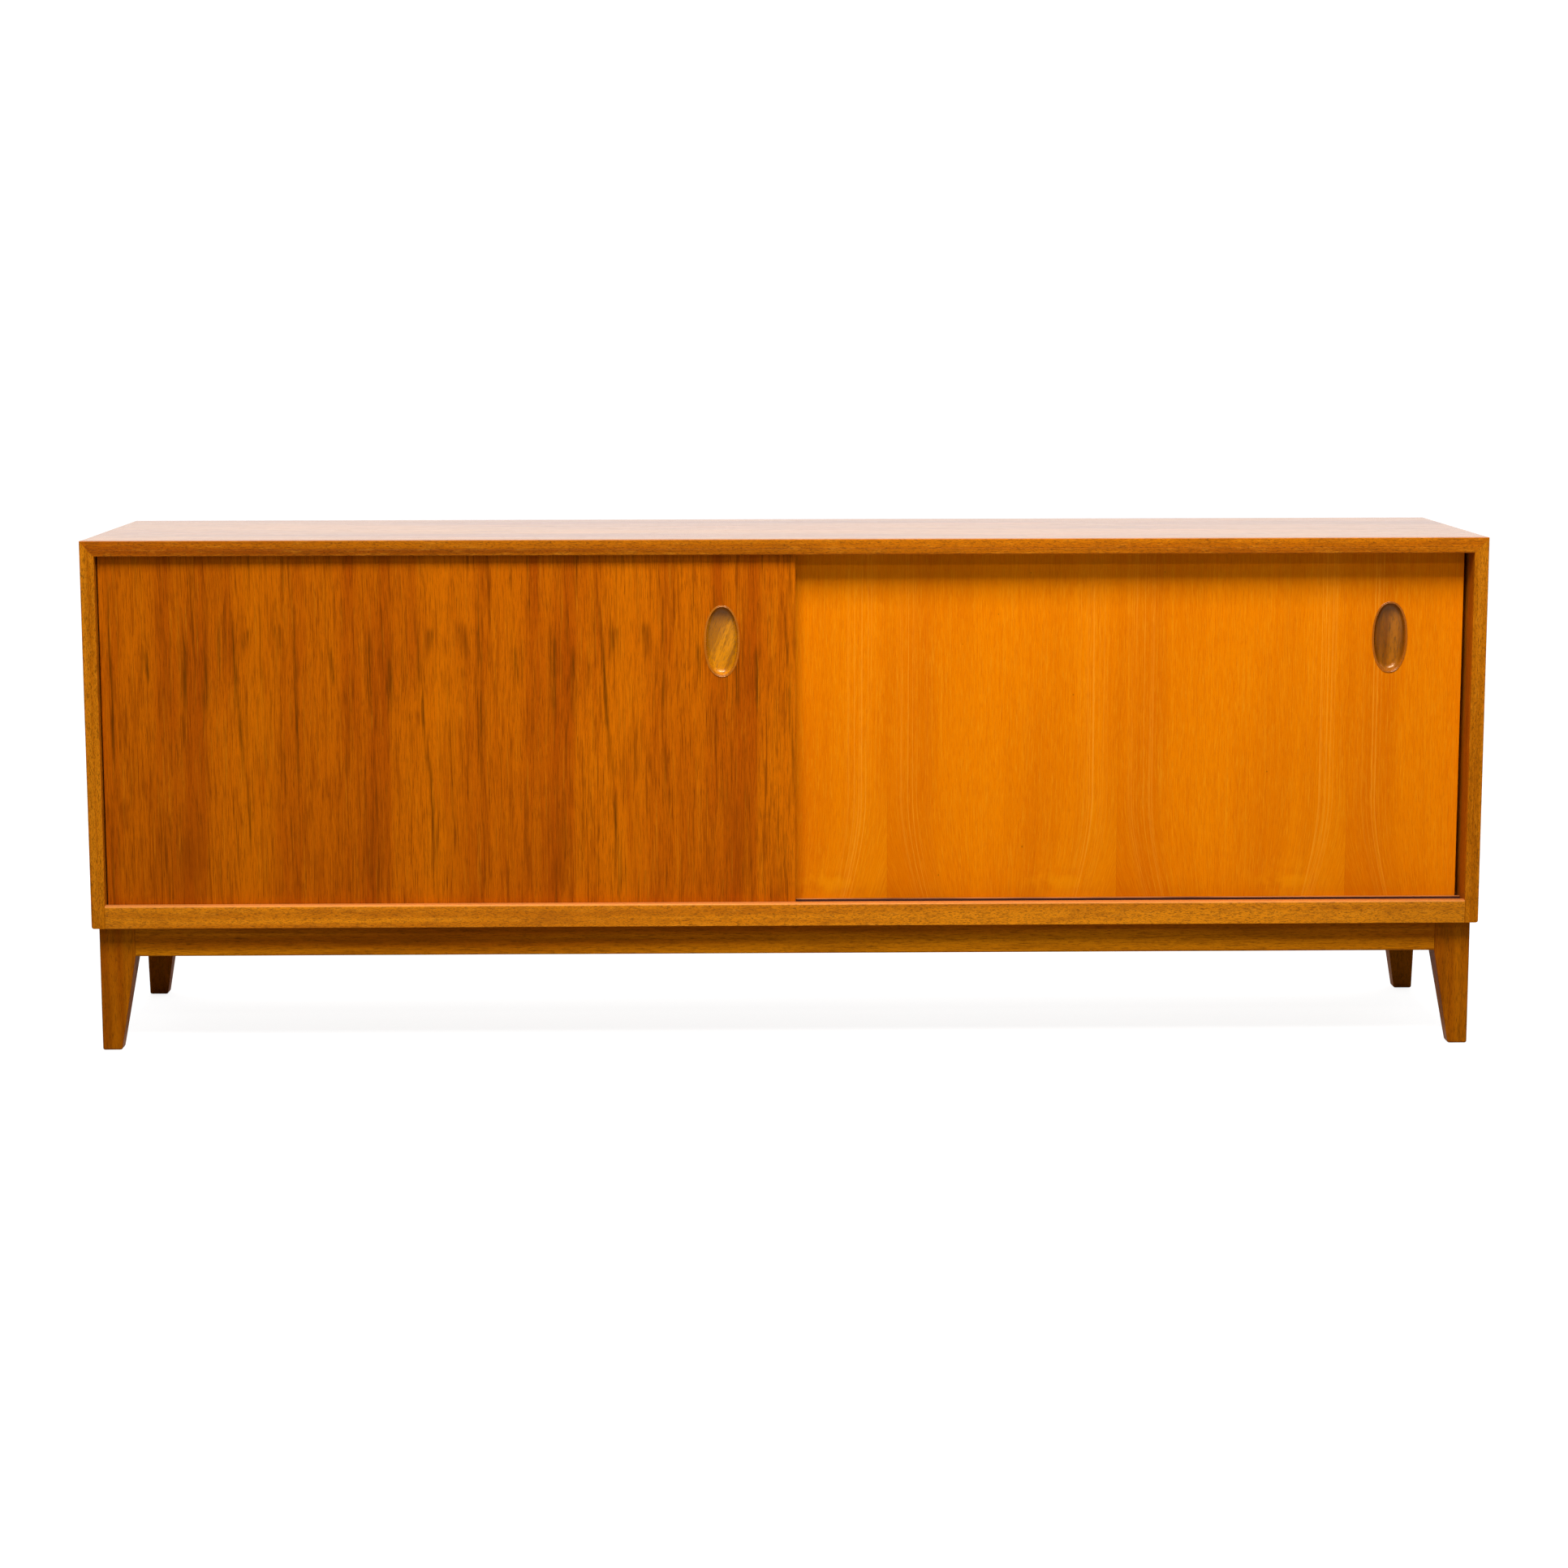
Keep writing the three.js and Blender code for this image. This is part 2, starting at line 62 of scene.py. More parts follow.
# A leg's width and depth beside the apron and at the foot.
LEG_TOP = (51.5 * MM, 46 * MM)
LEG_FOOT = (28 * MM, 26 * MM)

# A light's place, the point it is turned to, and its width and height.
KEY_LIGHT = ((0.05, -2.24, 3.39), (0.1, -0.2, 0.65), 2.6, 1.35)
FILL_LIGHT = ((0.0, -5.2, 2.95), (0.0, -0.2, 0.65), 2.0, 0.2)


# ---------------------------------------------------------------- settings
def linear(hex_colour):
    """A colour written as 0xRRGGBB, as the linear values that the shaders use."""
    parts = [(hex_colour >> shift & 255) / 255 for shift in (16, 8, 0)]
    return tuple(p / 12.92 if p <= 0.04045 else ((p + 0.055) / 1.055) ** 2.4 for p in parts)


def length(name, description, default_mm, low=0.0, high=50.0):
    return FloatProperty(name=name, description=description, default=default_mm * MM, min=low * MM,
                         max=high * MM, subtype="DISTANCE", unit="LENGTH", precision=4)


def colour(name, description, hex_colour):
    return FloatVectorProperty(name=name, description=description, default=linear(hex_colour),
                               subtype="COLOR", size=3, min=0.0, max=1.0)


class SideboardSizes(bpy.types.PropertyGroup):
    """Softened edges and small shapes; the main sizes come from the frame."""
    board_arris: length("Board arris", "Rounding of the inner boards' edges", 0.5)
    door_arris: length("Door arris", "Rounding of the doors' edges", 1.2)
    lipping_arris: length("Lipping arris", "Rounding of the outer edge of the lippings", 1.2)
    lipping_flat: length("Lipping flat", "Flat part of the lippings before the inner chamfer", 13.0)
    lipping_fall: length("Lipping chamfer", "How far the inner chamfer falls back", 1.4)
    lipping_groove: length("Lipping groove", "Depth of the fine groove beside the flat", 0.5)
    lipping_inner: length("Lipping inner arris", "Rounding of the lippings' inner edge", 1.4)
    lipping_foot: length("Lipping foot", "Rounding of the side lippings' lower outer corner", 3.2)
    rail_arris: length("Rail arris", "Rounding of the bottom rail's upper front edge", 3.2)
    leg_round: length("Leg rounding", "Rounding of the legs' long edges", 2.5)
    foot_round: length("Foot rounding", "Rounding under the feet", 3.0)
    apron_arris: length("Apron arris", "Rounding of the aprons' lower edges", 2.5)
    pull_bead: length("Pull bead", "Height of the double bead round each pull", 0.45)


class SideboardColours(bpy.types.PropertyGroup):
    """Finish colours."""
    left_dark: colour("Left door, dark bands", "Redder bands of the left door", 0xAA4A02)
    left_light: colour("Left door, light bands", "Golden bands of the left door", 0xC66202)
    right_dark: colour("Right door, dark bands", "Deeper bands of the right door", 0xD66C00)
    right_light: colour("Right door, light bands", "Paler bands of the right door", 0xE67C00)
    edge_dark: colour("Side lipping, dark", "Darker grain of the side lippings", 0xA85804)
    edge_light: colour("Side lipping, light", "Lighter grain of the side lippings", 0xCC7810)
    head_dark: colour("Top lipping, dark", "Redder left end of the top lipping", 0x9A4602)
    head_light: colour("Top lipping, light", "Lighter right end of the top lipping", 0xC06A04)
    rail_dark: colour("Rail, dark", "Darker grain of the bottom rail", 0xB86402)
    rail_light: colour("Rail, light", "Lighter grain of the bottom rail", 0xD88008)
    top_dark: colour("Top, dark", "Darker grain of the top", 0x8A4A04)
    top_light: colour("Top, light", "Lighter grain of the top", 0xAC6A0E)
    side_dark: colour("Sides, dark", "Darker grain of the sides", 0x9E4E04)
    side_light: colour("Sides, light", "Lighter grain of the sides", 0xC0700C)
    base_dark: colour("Legs, dark", "Darker grain of the legs", 0x944602)
    base_light: colour("Legs, light", "Lighter grain of the legs", 0xB26204)
    apron_dark: colour("Aprons, dark", "Darker grain of the aprons", 0xA45404)
    apron_light: colour("Aprons, light", "Lighter grain of the aprons", 0xC47408)
    left_pull_dark: colour("Left pull, dark", "Darker grain of the left pull", 0xA86404)
    left_pull_light: colour("Left pull, light", "Lighter grain of the left pull", 0xDC8A08)
    right_pull_dark: colour("Right pull, dark", "Darker grain of the right pull", 0x7E4204)
    right_pull_light: colour("Right pull, light", "Lighter grain of the right pull", 0xA8600A)
    track: colour("Track", "Stained wood of the door track", 0x482419)
    inside_dark: colour("Inside, dark", "Darker grain inside the case", 0xA0703C)
    inside_light: colour("Inside, light", "Lighter grain inside the case", 0xC79A62)
    back_dark: colour("Back, dark", "Darker grain of the back panel", 0xAE8656)
    back_light: colour("Back, light", "Lighter grain of the back panel", 0xC49B66)


class SideboardStage(bpy.types.PropertyGroup):
    """Camera, lights and floor."""
    lens: FloatProperty(name="Lens", description="Focal length on a 36 mm sensor", default=73.9,
                        min=20.0, max=200.0)
    place: FloatVectorProperty(name="Camera place", description="Where the camera stands",
                               default=(-0.0811, -4.784, 1.0635), subtype="TRANSLATION", size=3,
                               unit="LENGTH")
    yaw: FloatProperty(name="Yaw", description="Turn of the camera to the right",
                       default=math.radians(0.963), subtype="ANGLE")
    pitch: FloatProperty(name="Pitch", description="Tilt of the camera below level",
                         default=math.radians(8.401), subtype="ANGLE")
    roll: FloatProperty(name="Roll", description="Roll of the camera",
                        default=math.radians(-0.088), subtype="ANGLE")
    key: FloatProperty(name="Key light", description="Power of the light over the front", default=180.0,
                       min=0.0, unit="POWER")
    fill: FloatProperty(name="Fill light", description="Power of the lower light in front", default=34.0,
                        min=0.0, unit="POWER")
    room: FloatProperty(name="Room light", description="Strength of the light from all round",
                        default=0.95, min=0.0)
    floor_grey: FloatProperty(name="Floor grey", description="How pale the floor is", default=0.36,
                              min=0.0, max=1.0)
    floor_lift: FloatProperty(name="Floor lift", description="Light that the floor shows the camera",
                              default=0.86, min=0.0)


def sizes():
    return bpy.context.scene.sideboard_sizes


def colours():
    return bpy.context.scene.sideboard_colours


# ---------------------------------------------------------------- finishes
class Finish:
    """A material under construction, with short calls for the nodes that the finishes share."""

    def __init__(self, name, specular=0.5, coat=0.0, metallic=0.0, tint=(1.0, 1.0, 1.0)):
        self.material = bpy.data.materials.new(name)
        self.material.use_nodes = True
        self.tree = self.material.node_tree
        self.tree.nodes.clear()
        self.shader = self.node("ShaderNodeBsdfPrincipled")
        output = self.node("ShaderNodeOutputMaterial")
        self.tree.links.new(self.shader.outputs["BSDF"], output.inputs["Surface"])
        self.shader.inputs["Specular IOR Level"].default_value = specular
        self.shader.inputs["Specular Tint"].default_value = (*tint, 1.0)
        self.shader.inputs["Coat Weight"].default_value = coat
        self.shader.inputs["Coat Roughness"].default_value = 0.25
        self.shader.inputs["Metallic"].default_value = metallic
        where = self.node("ShaderNodeTexCoord")
        split = self.node("ShaderNodeSeparateXYZ")
        self.tree.links.new(where.outputs["Object"], split.inputs[0])
        self.x, self.y, self.z = split.outputs

    def node(self, kind, **settings):
        made = self.tree.nodes.new(kind)
        for key, value in settings.items():
            setattr(made, key, value)
        return made

    def put(self, socket, value):
        if isinstance(value, bpy.types.NodeSocket):
            self.tree.links.new(value, socket)
        else:
            socket.default_value = value

    def math(self, operation, a, b=0.0, c=0.0, clamp=False):
        made = self.node("ShaderNodeMath", operation=operation, use_clamp=clamp)
        for socket, value in zip(made.inputs, (a, b, c)):
            self.put(socket, value)
        return made.outputs[0]

    def spot(self, *parts):
        made = self.node("ShaderNodeCombineXYZ")
        for socket, value in zip(made.inputs, parts):
            self.put(socket, value)
        return made.outputs[0]

    def noise(self, spot, scales, detail=2.0, rough=0.5, distortion=0.0):
        """Soft random value between about 0 and 1; scales say how fast it changes, per metre."""
        stretched = self.node("ShaderNodeVectorMath", operation="MULTIPLY")
        self.put(stretched.inputs[0], spot)
        stretched.inputs[1].default_value = scales
        made = self.node("ShaderNodeTexNoise")
        self.put(made.inputs["Vector"], stretched.outputs[0])
        made.inputs["Scale"].default_value = 1.0
        made.inputs["Detail"].default_value = detail
        made.inputs["Roughness"].default_value = rough
        made.inputs["Distortion"].default_value = distortion
        return made.outputs["Fac"]

    def ease(self, value, start, end, low=0.0, high=1.0):
        """Runs smoothly from low to high as value goes from start to end."""
        made = self.node("ShaderNodeMapRange", interpolation_type="SMOOTHSTEP")
        for socket, number in zip(made.inputs[1:5], (start, end, low, high)):
            socket.default_value = number
        self.put(made.inputs[0], value)
        return made.outputs[0]

    def mix(self, factor, first, second, blend="MIX"):
        made = self.node("ShaderNodeMix", data_type="RGBA", blend_type=blend)
        self.put(made.inputs["Factor"], factor)
        for socket, value in zip((made.inputs[6], made.inputs[7]), (first, second)):
            if not isinstance(value, bpy.types.NodeSocket):
                value = (*value[:3], 1.0)
            self.put(socket, value)
        return made.outputs[2]

    def scaled(self, colour_socket, factor):
        """A colour made lighter or darker by a factor round 1."""
        made = self.node("ShaderNodeVectorMath", operation="SCALE")
        self.put(made.inputs[0], colour_socket)
        self.put(made.inputs["Scale"], factor)
        return made.outputs[0]

    def product(self, *values):
        result = values[0]
        for value in values[1:]:
            result = self.math("MULTIPLY", result, value)
        return result

    def near(self, value, centre, reach):
        """1 at centre, falling smoothly to 0 at reach on both sides."""
        gap = self.math("ABSOLUTE", self.math("SUBTRACT", value, centre))
        return self.ease(gap, 0.0, reach, 1.0, 0.0)

    def finish(self, base, roughness, height, depth):
        self.put(self.shader.inputs["Base Color"], base)
        self.put(self.shader.inputs["Roughness"], roughness)
        bump = self.node("ShaderNodeBump")
        bump.inputs["Strength"].default_value = 0.5
        bump.inputs["Distance"].default_value = depth
        self.put(bump.inputs["Height"], height)
        self.tree.links.new(bump.outputs["Normal"], self.shader.inputs["Normal"])
        return self.material


def wood_figure(f, spot, dark, light, bands=18.0, marks=(), wander=0.006, flow=1.7, gloss=0.42):
    """Grain at spot, whose third part runs along the board: a colour, a roughness and a height.

    The marks are layers of streaks, laid out like DARK_FIGURE.
    """
    drift = f.noise(spot, (6.0, 6.0, flow), 1.0)
    sideways = f.math("MULTIPLY_ADD", drift, wander, -wander / 2)
    shift = f.node("ShaderNodeVectorMath", operation="ADD")
    f.put(shift.inputs[0], spot)
    f.put(shift.inputs[1], f.spot(sideways, sideways, 0.0))
    bent = shift.outputs[0]
    broad = f.noise(bent, (bands, bands, 0.7), 3.0, 0.55)
    base = f.mix(f.ease(broad, 0.36, 0.64), dark, light)
    relief = f.noise(bent, (900.0, 900.0, 14.0), 2.0)
    for number, (across, along, start, full, strength, stain) in enumerate(marks):
        layer = f.noise(bent, (across, across * (1.0 + 0.01 * number), along), 3.0, 0.6)
        where = f.ease(layer, start, full)
        base = f.mix(f.math("MULTIPLY", where, strength), base, linear(stain))
        if across >= FINE:
            relief = f.math("MULTIPLY_ADD", where, -0.8, relief)
    rough = f.math("MULTIPLY_ADD", relief, -0.10, gloss)
    return base, rough, relief


# Tints of the lacquer's reflection where it is seen straight on.
WARM_GLOSS = (1.0, 0.5, 0.0)
PINK_GLOSS = (1.0, 0.60, 0.18)
PALE_GLOSS = (1.0, 0.70, 0.46)

# Layers of streaks, from broad to fine. Each is: change across the grain and along it, per metre,
# the noise value where it starts and where it is full, its strength, and its colour.
DARK_FIGURE = (
    (26.0, 4.6, 0.47, 0.72, 0.38, 0x9E3E02),
    (64.0, 3.6, 0.50, 0.74, 0.38, 0xCA6A02),
    (62.0, 10.0, 0.56, 0.74, 0.46, 0x7A3002),
    (110.0, 9.0, 0.52, 0.72, 0.50, 0x863802),
    (170.0, 6.0, 0.58, 0.70, 0.62, 0x6A2C02),
    (300.0, 8.0, 0.56, 0.68, 0.46, 0x6A2C02),
    (420.0, 9.0, 0.55, 0.72, 0.38, 0xCE7A10),
    (640.0, 18.0, 0.52, 0.68, 0.40, 0x6C2C02),
    (1000.0, 30.0, 0.52, 0.66, 0.44, 0x602802),
    (1700.0, 60.0, 0.55, 0.66, 0.46, 0x4E1E02),
)
BRIGHT_FIGURE = (
    (22.0, 2.4, 0.48, 0.75, 0.22, 0xDA6A00),
    (80.0, 2.6, 0.50, 0.75, 0.16, 0xD46802),
    (300.0, 4.0, 0.52, 0.72, 0.24, 0xEE9814),
    (420.0, 7.0, 0.52, 0.72, 0.24, 0xD06002),
    (700.0, 26.0, 0.50, 0.64, 0.26, 0xCA5C02),
    (900.0, 40.0, 0.52, 0.64, 0.26, 0xF09E1C),
    (1150.0, 60.0, 0.50, 0.62, 0.30, 0xC05402),
)
EDGE_FIGURE = (
    (60.0, 22.0, 0.48, 0.72, 0.40, 0x9C5206),
    (200.0, 40.0, 0.52, 0.72, 0.35, 0xDA881C),
    (380.0, 90.0, 0.52, 0.68, 0.50, 0x864402),
    (800.0, 190.0, 0.52, 0.64, 0.60, 0x5A2C04),
    (1300.0, 320.0, 0.54, 0.66, 0.55, 0x482204),
)
BASE_FIGURE = (
    (80.0, 5.0, 0.48, 0.72, 0.35, 0x743803),
    (260.0, 12.0, 0.52, 0.72, 0.30, 0xA8600A),
    (450.0, 26.0, 0.52, 0.70, 0.40, 0x6C3402),
    (900.0, 70.0, 0.52, 0.66, 0.50, 0x4A2404),
    (1500.0, 170.0, 0.55, 0.68, 0.45, 0x3A1A04),
)
PULL_FIGURE = (
    (120.0, 20.0, 0.48, 0.72, 0.35, 0x7C4604),
    (420.0, 60.0, 0.54, 0.70, 0.45, 0x6A4002),
    (900.0, 110.0, 0.54, 0.64, 0.60, 0x4A2C02),
)
PALE_FIGURE = (
    (60.0, 2.0, 0.48, 0.74, 0.35, 0x9A6A38),
    (220.0, 5.0, 0.52, 0.72, 0.30, 0xD2A874),
    (600.0, 14.0, 0.52, 0.70, 0.35, 0x86592C),
    (1400.0, 50.0, 0.55, 0.70, 0.40, 0x6A4420),
)

# Slip-matched leaves of each door: the first joint's place, and a leaf's width.
LEFT_LEAVES = (-0.8788, 0.2624)
RIGHT_LEAVES = (0.1455, 0.3335)
LEAF_SHIFT = 2.2 * MM         # every leaf is cut a little farther into the same log

# Paired wisps in each leaf of the left door: place across the leaf, top, lean and height.
PAIRED_WISPS = ((0.1108, 0.615, 0.16, 0.055), (0.1520, 0.622, -0.14, 0.075))
# Long dark lines in each leaf of the left door: place across the leaf, top, foot, lean and reach.
LONG_LINES = (
    (0.087, 0.66, 0.37, -0.055, 0.0035),
    (0.020, 0.63, 0.47, 0.0, 0.006),
    (0.176, 0.70, 0.33, -0.010, 0.0030),
    (0.226, 0.60, 0.52, -0.09, 0.004),
    (0.050, 0.60, 0.47, 0.02, 0.006),
    (0.105, 0.45, 0.27, -0.02, 0.003),
)
# Dark flecks on the right door: X, Z and size, in millimetres.
FLECKS = (
    (351.0, 688.2, 1.3),
    (304.8, 628.8, 1.1),
    (413.7, 512.1, 1.6),
    (341.8, 290.3, 1.8),
    (220.5, 248.9, 1.4),
    (253.7, 585.6, 1.0),
    (696.0, 399.0, 1.4),
    (543.6, 688.8, 1.1),
)


def tones(kind):
    """The dark and the light colour of one kind of wood."""
    c = colours()
    return tuple(getattr(c, kind + "_dark")), tuple(getattr(c, kind + "_light"))


def leaves(f, first_joint, width):
    """Slip-matched veneer leaves: the place across a leaf, and the leaf's number."""
    run = f.math("DIVIDE", f.math("SUBTRACT", f.x, first_joint), width)
    number = f.math("FLOOR", run)
    return f.math("MULTIPLY", f.math("SUBTRACT", run, number), width), number


def stained(f, base, amount, hex_colour, *masks):
    """Base mixed towards a colour where all the masks are high."""
    return f.mix(f.product(amount, *masks), base, linear(hex_colour))


def left_door_veneer():
    """Reddish brown veneer in slip-matched leaves with dark wisps."""
    f = Finish("Left door veneer", specular=0.3, tint=WARM_GLOSS)
    across, number = leaves(f, *LEFT_LEAVES)
    spot = f.spot(across, f.math("MULTIPLY", number, LEAF_SHIFT), f.z)
    base, rough, height = wood_figure(f, spot, *tones("left"), bands=15.0, marks=DARK_FIGURE,
                                      wander=0.010, flow=2.6)
    ragged = f.noise(spot, (500.0, 500.0, 14.0), 3.0)
    torn = f.ease(ragged, 0.36, 0.58)
    # A golden band beside a redder one in every leaf.
    base = stained(f, base, 0.26, 0xD06E02, f.near(across, 0.128, 0.048), torn)
    base = stained(f, base, 0.18, 0x963C02, f.near(across, 0.205, 0.055), torn)
    # Paired wisps that fade downwards, and long wandering dark lines.
    for place, top, lean, tall in PAIRED_WISPS:
        below = f.math("SUBTRACT", top, f.z)
        line = f.math("ADD", across, f.math("MULTIPLY", below, lean))
        fade = f.math("MULTIPLY", f.ease(below, -0.004, 0.010), f.ease(below, 0.010, tall, 1.0, 0.0))
        base = stained(f, base, 0.58, 0x5A2802, f.near(line, place, 0.012), fade, torn)
    for place, top, foot, lean, wide in LONG_LINES:
        below = f.math("SUBTRACT", top, f.z)
        line = f.math("ADD", across, f.math("MULTIPLY", below, lean))
        span = top - foot
        fade = f.math("MULTIPLY", f.ease(below, 0.0, span * 0.3), f.ease(below, span * 0.6, span, 1.0, 0.0))
        base = stained(f, base, 0.75, 0x542802, f.near(line, place, wide * 1.3), fade, torn)
    base = stained(f, base, 0.50, 0x843802, f.near(across, 0.022, 0.032), f.near(f.z, 0.30, 0.11), torn)
    base = stained(f, base, 0.12, 0x9A5008, f.near(across, 0.0003, 0.0008))
    base = f.scaled(base, f.ease(f.x, -0.9, 0.0, 0.91, 1.07))
    # Painted shade: darker towards the top of the door, where less light falls; also darker towards the
    # bottom.
    foot_tone, painted_head_shade = f.ease(f.z, 0.21, 0.33, 0.96, 1.0), f.ease(f.z, 0.60, 0.69, 1.0, 0.96)
    base = f.scaled(base, f.product(foot_tone, painted_head_shade))
    return f.finish(base, rough, height, 0.1 * MM)


def right_door_veneer():
    """Orange veneer in slip-matched leaves whose grain closes in towards the bottom."""
    f = Finish("Right door veneer", specular=0.3, tint=WARM_GLOSS)
    width = RIGHT_LEAVES[1]
    across, number = leaves(f, *RIGHT_LEAVES)
    offset = f.math("SUBTRACT", across, width / 2)
    drop = f.math("MAXIMUM", f.math("SUBTRACT", 0.37, f.z), 0.0)
    closing = f.math("MULTIPLY_ADD", f.product(drop, drop), 9.0, 1.0)
    drawn = f.math("MULTIPLY_ADD", offset, closing, width / 2)
    spot = f.spot(drawn, f.math("MULTIPLY", number, LEAF_SHIFT), f.z)
    base, rough, height = wood_figure(f, spot, *tones("right"), bands=11.0, marks=BRIGHT_FIGURE, flow=1.4)
    # Bundles of pale lines near the joints.
    beside = f.near(f.math("ABSOLUTE", f.math("SUBTRACT", drawn, width / 2)), width / 2 - 0.036, 0.034)
    lines = f.ease(f.noise(spot, (620.0, 620.0, 1.2), 2.0), 0.52, 0.66)
    base = stained(f, base, 0.34, 0xFAA42C, beside, lines)
    # Low down, each leaf is redder at its left joint and yellower at its right one.
    low = f.ease(f.z, 0.26, 0.44, 1.0, 0.0)
    base = stained(f, base, 0.16, 0xD06400, f.ease(across, 0.0, 0.13, 1.0, 0.0), low)
    base = stained(f, base, 0.16, 0xF09404, f.ease(across, width - 0.13, width), low)
    cloud = f.ease(f.noise(spot, (45.0, 45.0, 45.0), 3.0), 0.35, 0.60)
    base = stained(f, base, 0.36, 0xF69C08, f.near(across, 0.250, 0.085), f.near(f.z, 0.240, 0.042), cloud)
    for x, z, size in FLECKS:
        base = stained(f, base, 0.7, 0x7A3C02, f.near(f.x, x * MM, size * MM),
                       f.near(f.z, z * MM, size * 1.3 * MM))
    joint = f.near(across, 0.0003, 0.0007)
    base = stained(f, base, 0.30, 0xB85A02, joint, f.ease(f.z, 0.30, 0.5, 1.0, 0.25))
    return f.finish(base, rough, height, 0.08 * MM)


def lipping_wood():
    """The top lipping: redder towards the left end, lighter towards the right."""
    f = Finish("Top lipping wood", specular=0.25, tint=PINK_GLOSS)
    spot = f.spot(f.y, f.z, f.x)
    wood, rough, height = wood_figure(f, spot, *tones("head"), bands=40.0, marks=EDGE_FIGURE, wander=0.004)
    patch = f.math("MULTIPLY_ADD", f.noise(spot, (8.0, 8.0, 3.0), 2.0), 1.6, f.x)
    base = f.mix(f.ease(patch, 0.2, 1.5), f.scaled(wood, 0.86), f.scaled(wood, 1.14))
    base = f.scaled(base, f.ease(f.x, -0.98, -0.62, 1.24, 1.0))
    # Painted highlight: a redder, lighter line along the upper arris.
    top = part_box("top_lipping")[1].z
    base = stained(f, base, 0.25, 0xB0620C, f.ease(f.z, top - 2.6 * MM, top - 0.8 * MM))
    return f.finish(base, rough, height, 0.12 * MM)


def rail_wood():
    """The bottom rail, with a painted pinkish highlight along its upper arris."""
    f = Finish("Rail wood", specular=0.5, tint=PINK_GLOSS)
    spot = f.spot(f.y, f.z, f.x)
    base, rough, height = wood_figure(f, spot, *tones("rail"), bands=40.0, marks=EDGE_FIGURE, wander=0.004)
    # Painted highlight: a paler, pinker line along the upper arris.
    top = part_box("bottom_rail")[1].z
    base = stained(f, base, 0.60, 0xE08A4C, f.ease(f.z, top - 3.2 * MM, top - 1.2 * MM))
    base = f.scaled(base, f.ease(f.math("ABSOLUTE", f.x), 0.72, 0.98, 1.06, 0.90))
    base = f.scaled(base, f.ease(f.x, -0.1, 0.2, 1.07, 1.0))
    return f.finish(base, rough, height, 0.12 * MM)


def track_wood():
    """Dark stained track, with a painted pale highlight along the top of its rib."""
    f = Finish("Track wood", specular=0.2)
    spot = f.spot(f.y, f.z, f.x)
    stain = tuple(colours().track)
    base, rough, height = wood_figure(f, spot, stain, tuple(v * 1.5 for v in stain), bands=60.0,
                                      marks=((900.0, 60.0, 0.52, 0.66, 0.5, 0x241008),))
    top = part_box("bottom_track")[1].z
    # Painted highlight along the top of the rib, broken into patches by noise.
    highlight_breaks = f.ease(f.noise(spot, (80.0, 80.0, 6.0), 3.0), 0.30, 0.55)
    base = stained(f, base, 0.9, 0xC87838, f.ease(f.z, top - 0.7 * MM, top - 0.2 * MM), highlight_breaks)
    return f.finish(base, rough, height, 0.1 * MM)


def pull_wood(side, slant):
    """Turned pull with short open pores; slant leans the grain over."""
    f = Finish(f"{side.capitalize()} pull wood", specular=0.8, tint=PALE_GLOSS)
    leaning = f.math("MULTIPLY_ADD", f.z, -slant, f.x)
    base, rough, height = wood_figure(f, f.spot(leaning, f.y, f.z), *tones(f"{side}_pull"), bands=60.0,
                                      wander=0.003, marks=PULL_FIGURE, gloss=0.26)
    # Redder round the rim, and a painted shadow under the top of the bowl.
    low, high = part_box(f"{side}_door_pull")
    base = stained(f, base, 0.75, 0xB05E0C, f.ease(f.y, low.y + 1.5 * MM, low.y + 6.0 * MM, 1.0, 0.0))
    base = stained(f, base, 0.60, 0x6A3802, f.ease(f.z, high.z - 30 * MM, high.z - 8 * MM),
                   f.ease(f.y, low.y + 1.0 * MM, low.y + 4.0 * MM))
    return f.finish(base, rough, height, 0.1 * MM)


def plain_metal(name, dark, light, roughness):
    """Turned or rolled metal with faint brushing."""
    f = Finish(name, specular=0.5, metallic=1.0)
    spot = f.spot(f.x, f.y, f.z)
    cloud = f.noise(spot, (90.0, 90.0, 90.0), 3.0)
    brush = f.noise(spot, (2600.0, 2600.0, 300.0), 2.0)
    base = f.mix(f.ease(cloud, 0.35, 0.65), dark, light)
    rough = f.math("MULTIPLY_ADD", brush, 0.2, roughness)
    return f.finish(base, rough, brush, 0.03 * MM)


def nylon():
    """Off-white moulded nylon."""
    f = Finish("Glide nylon", specular=0.5)
    spot = f.spot(f.x, f.y, f.z)
    cloud = f.noise(spot, (60.0, 60.0, 60.0), 3.0)
    grit = f.noise(spot, (1500.0, 1500.0, 1500.0), 2.0)
    base = f.mix(f.ease(cloud, 0.3, 0.7), linear(0xCFCBBE), linear(0xE4E0D4))
    return f.finish(base, f.math("MULTIPLY_ADD", grit, 0.15, 0.42), grit, 0.03 * MM)


def plain_wood(name, along, kind, marks, specular=0.3, coat=0.0, **figure):
    """A maker for solid wood or plain veneer with its grain along one axis."""
    def make():
        f = Finish(name, specular=specular, coat=coat, tint=WARM_GLOSS)
        order = {"X": (f.y, f.z, f.x), "Y": (f.x, f.z, f.y), "Z": (f.x, f.y, f.z)}[along]
        base, rough, height = wood_figure(f, f.spot(*order), *tones(kind), marks=marks, **figure)
        return f.finish(base, rough, height, 0.12 * MM)
    return make


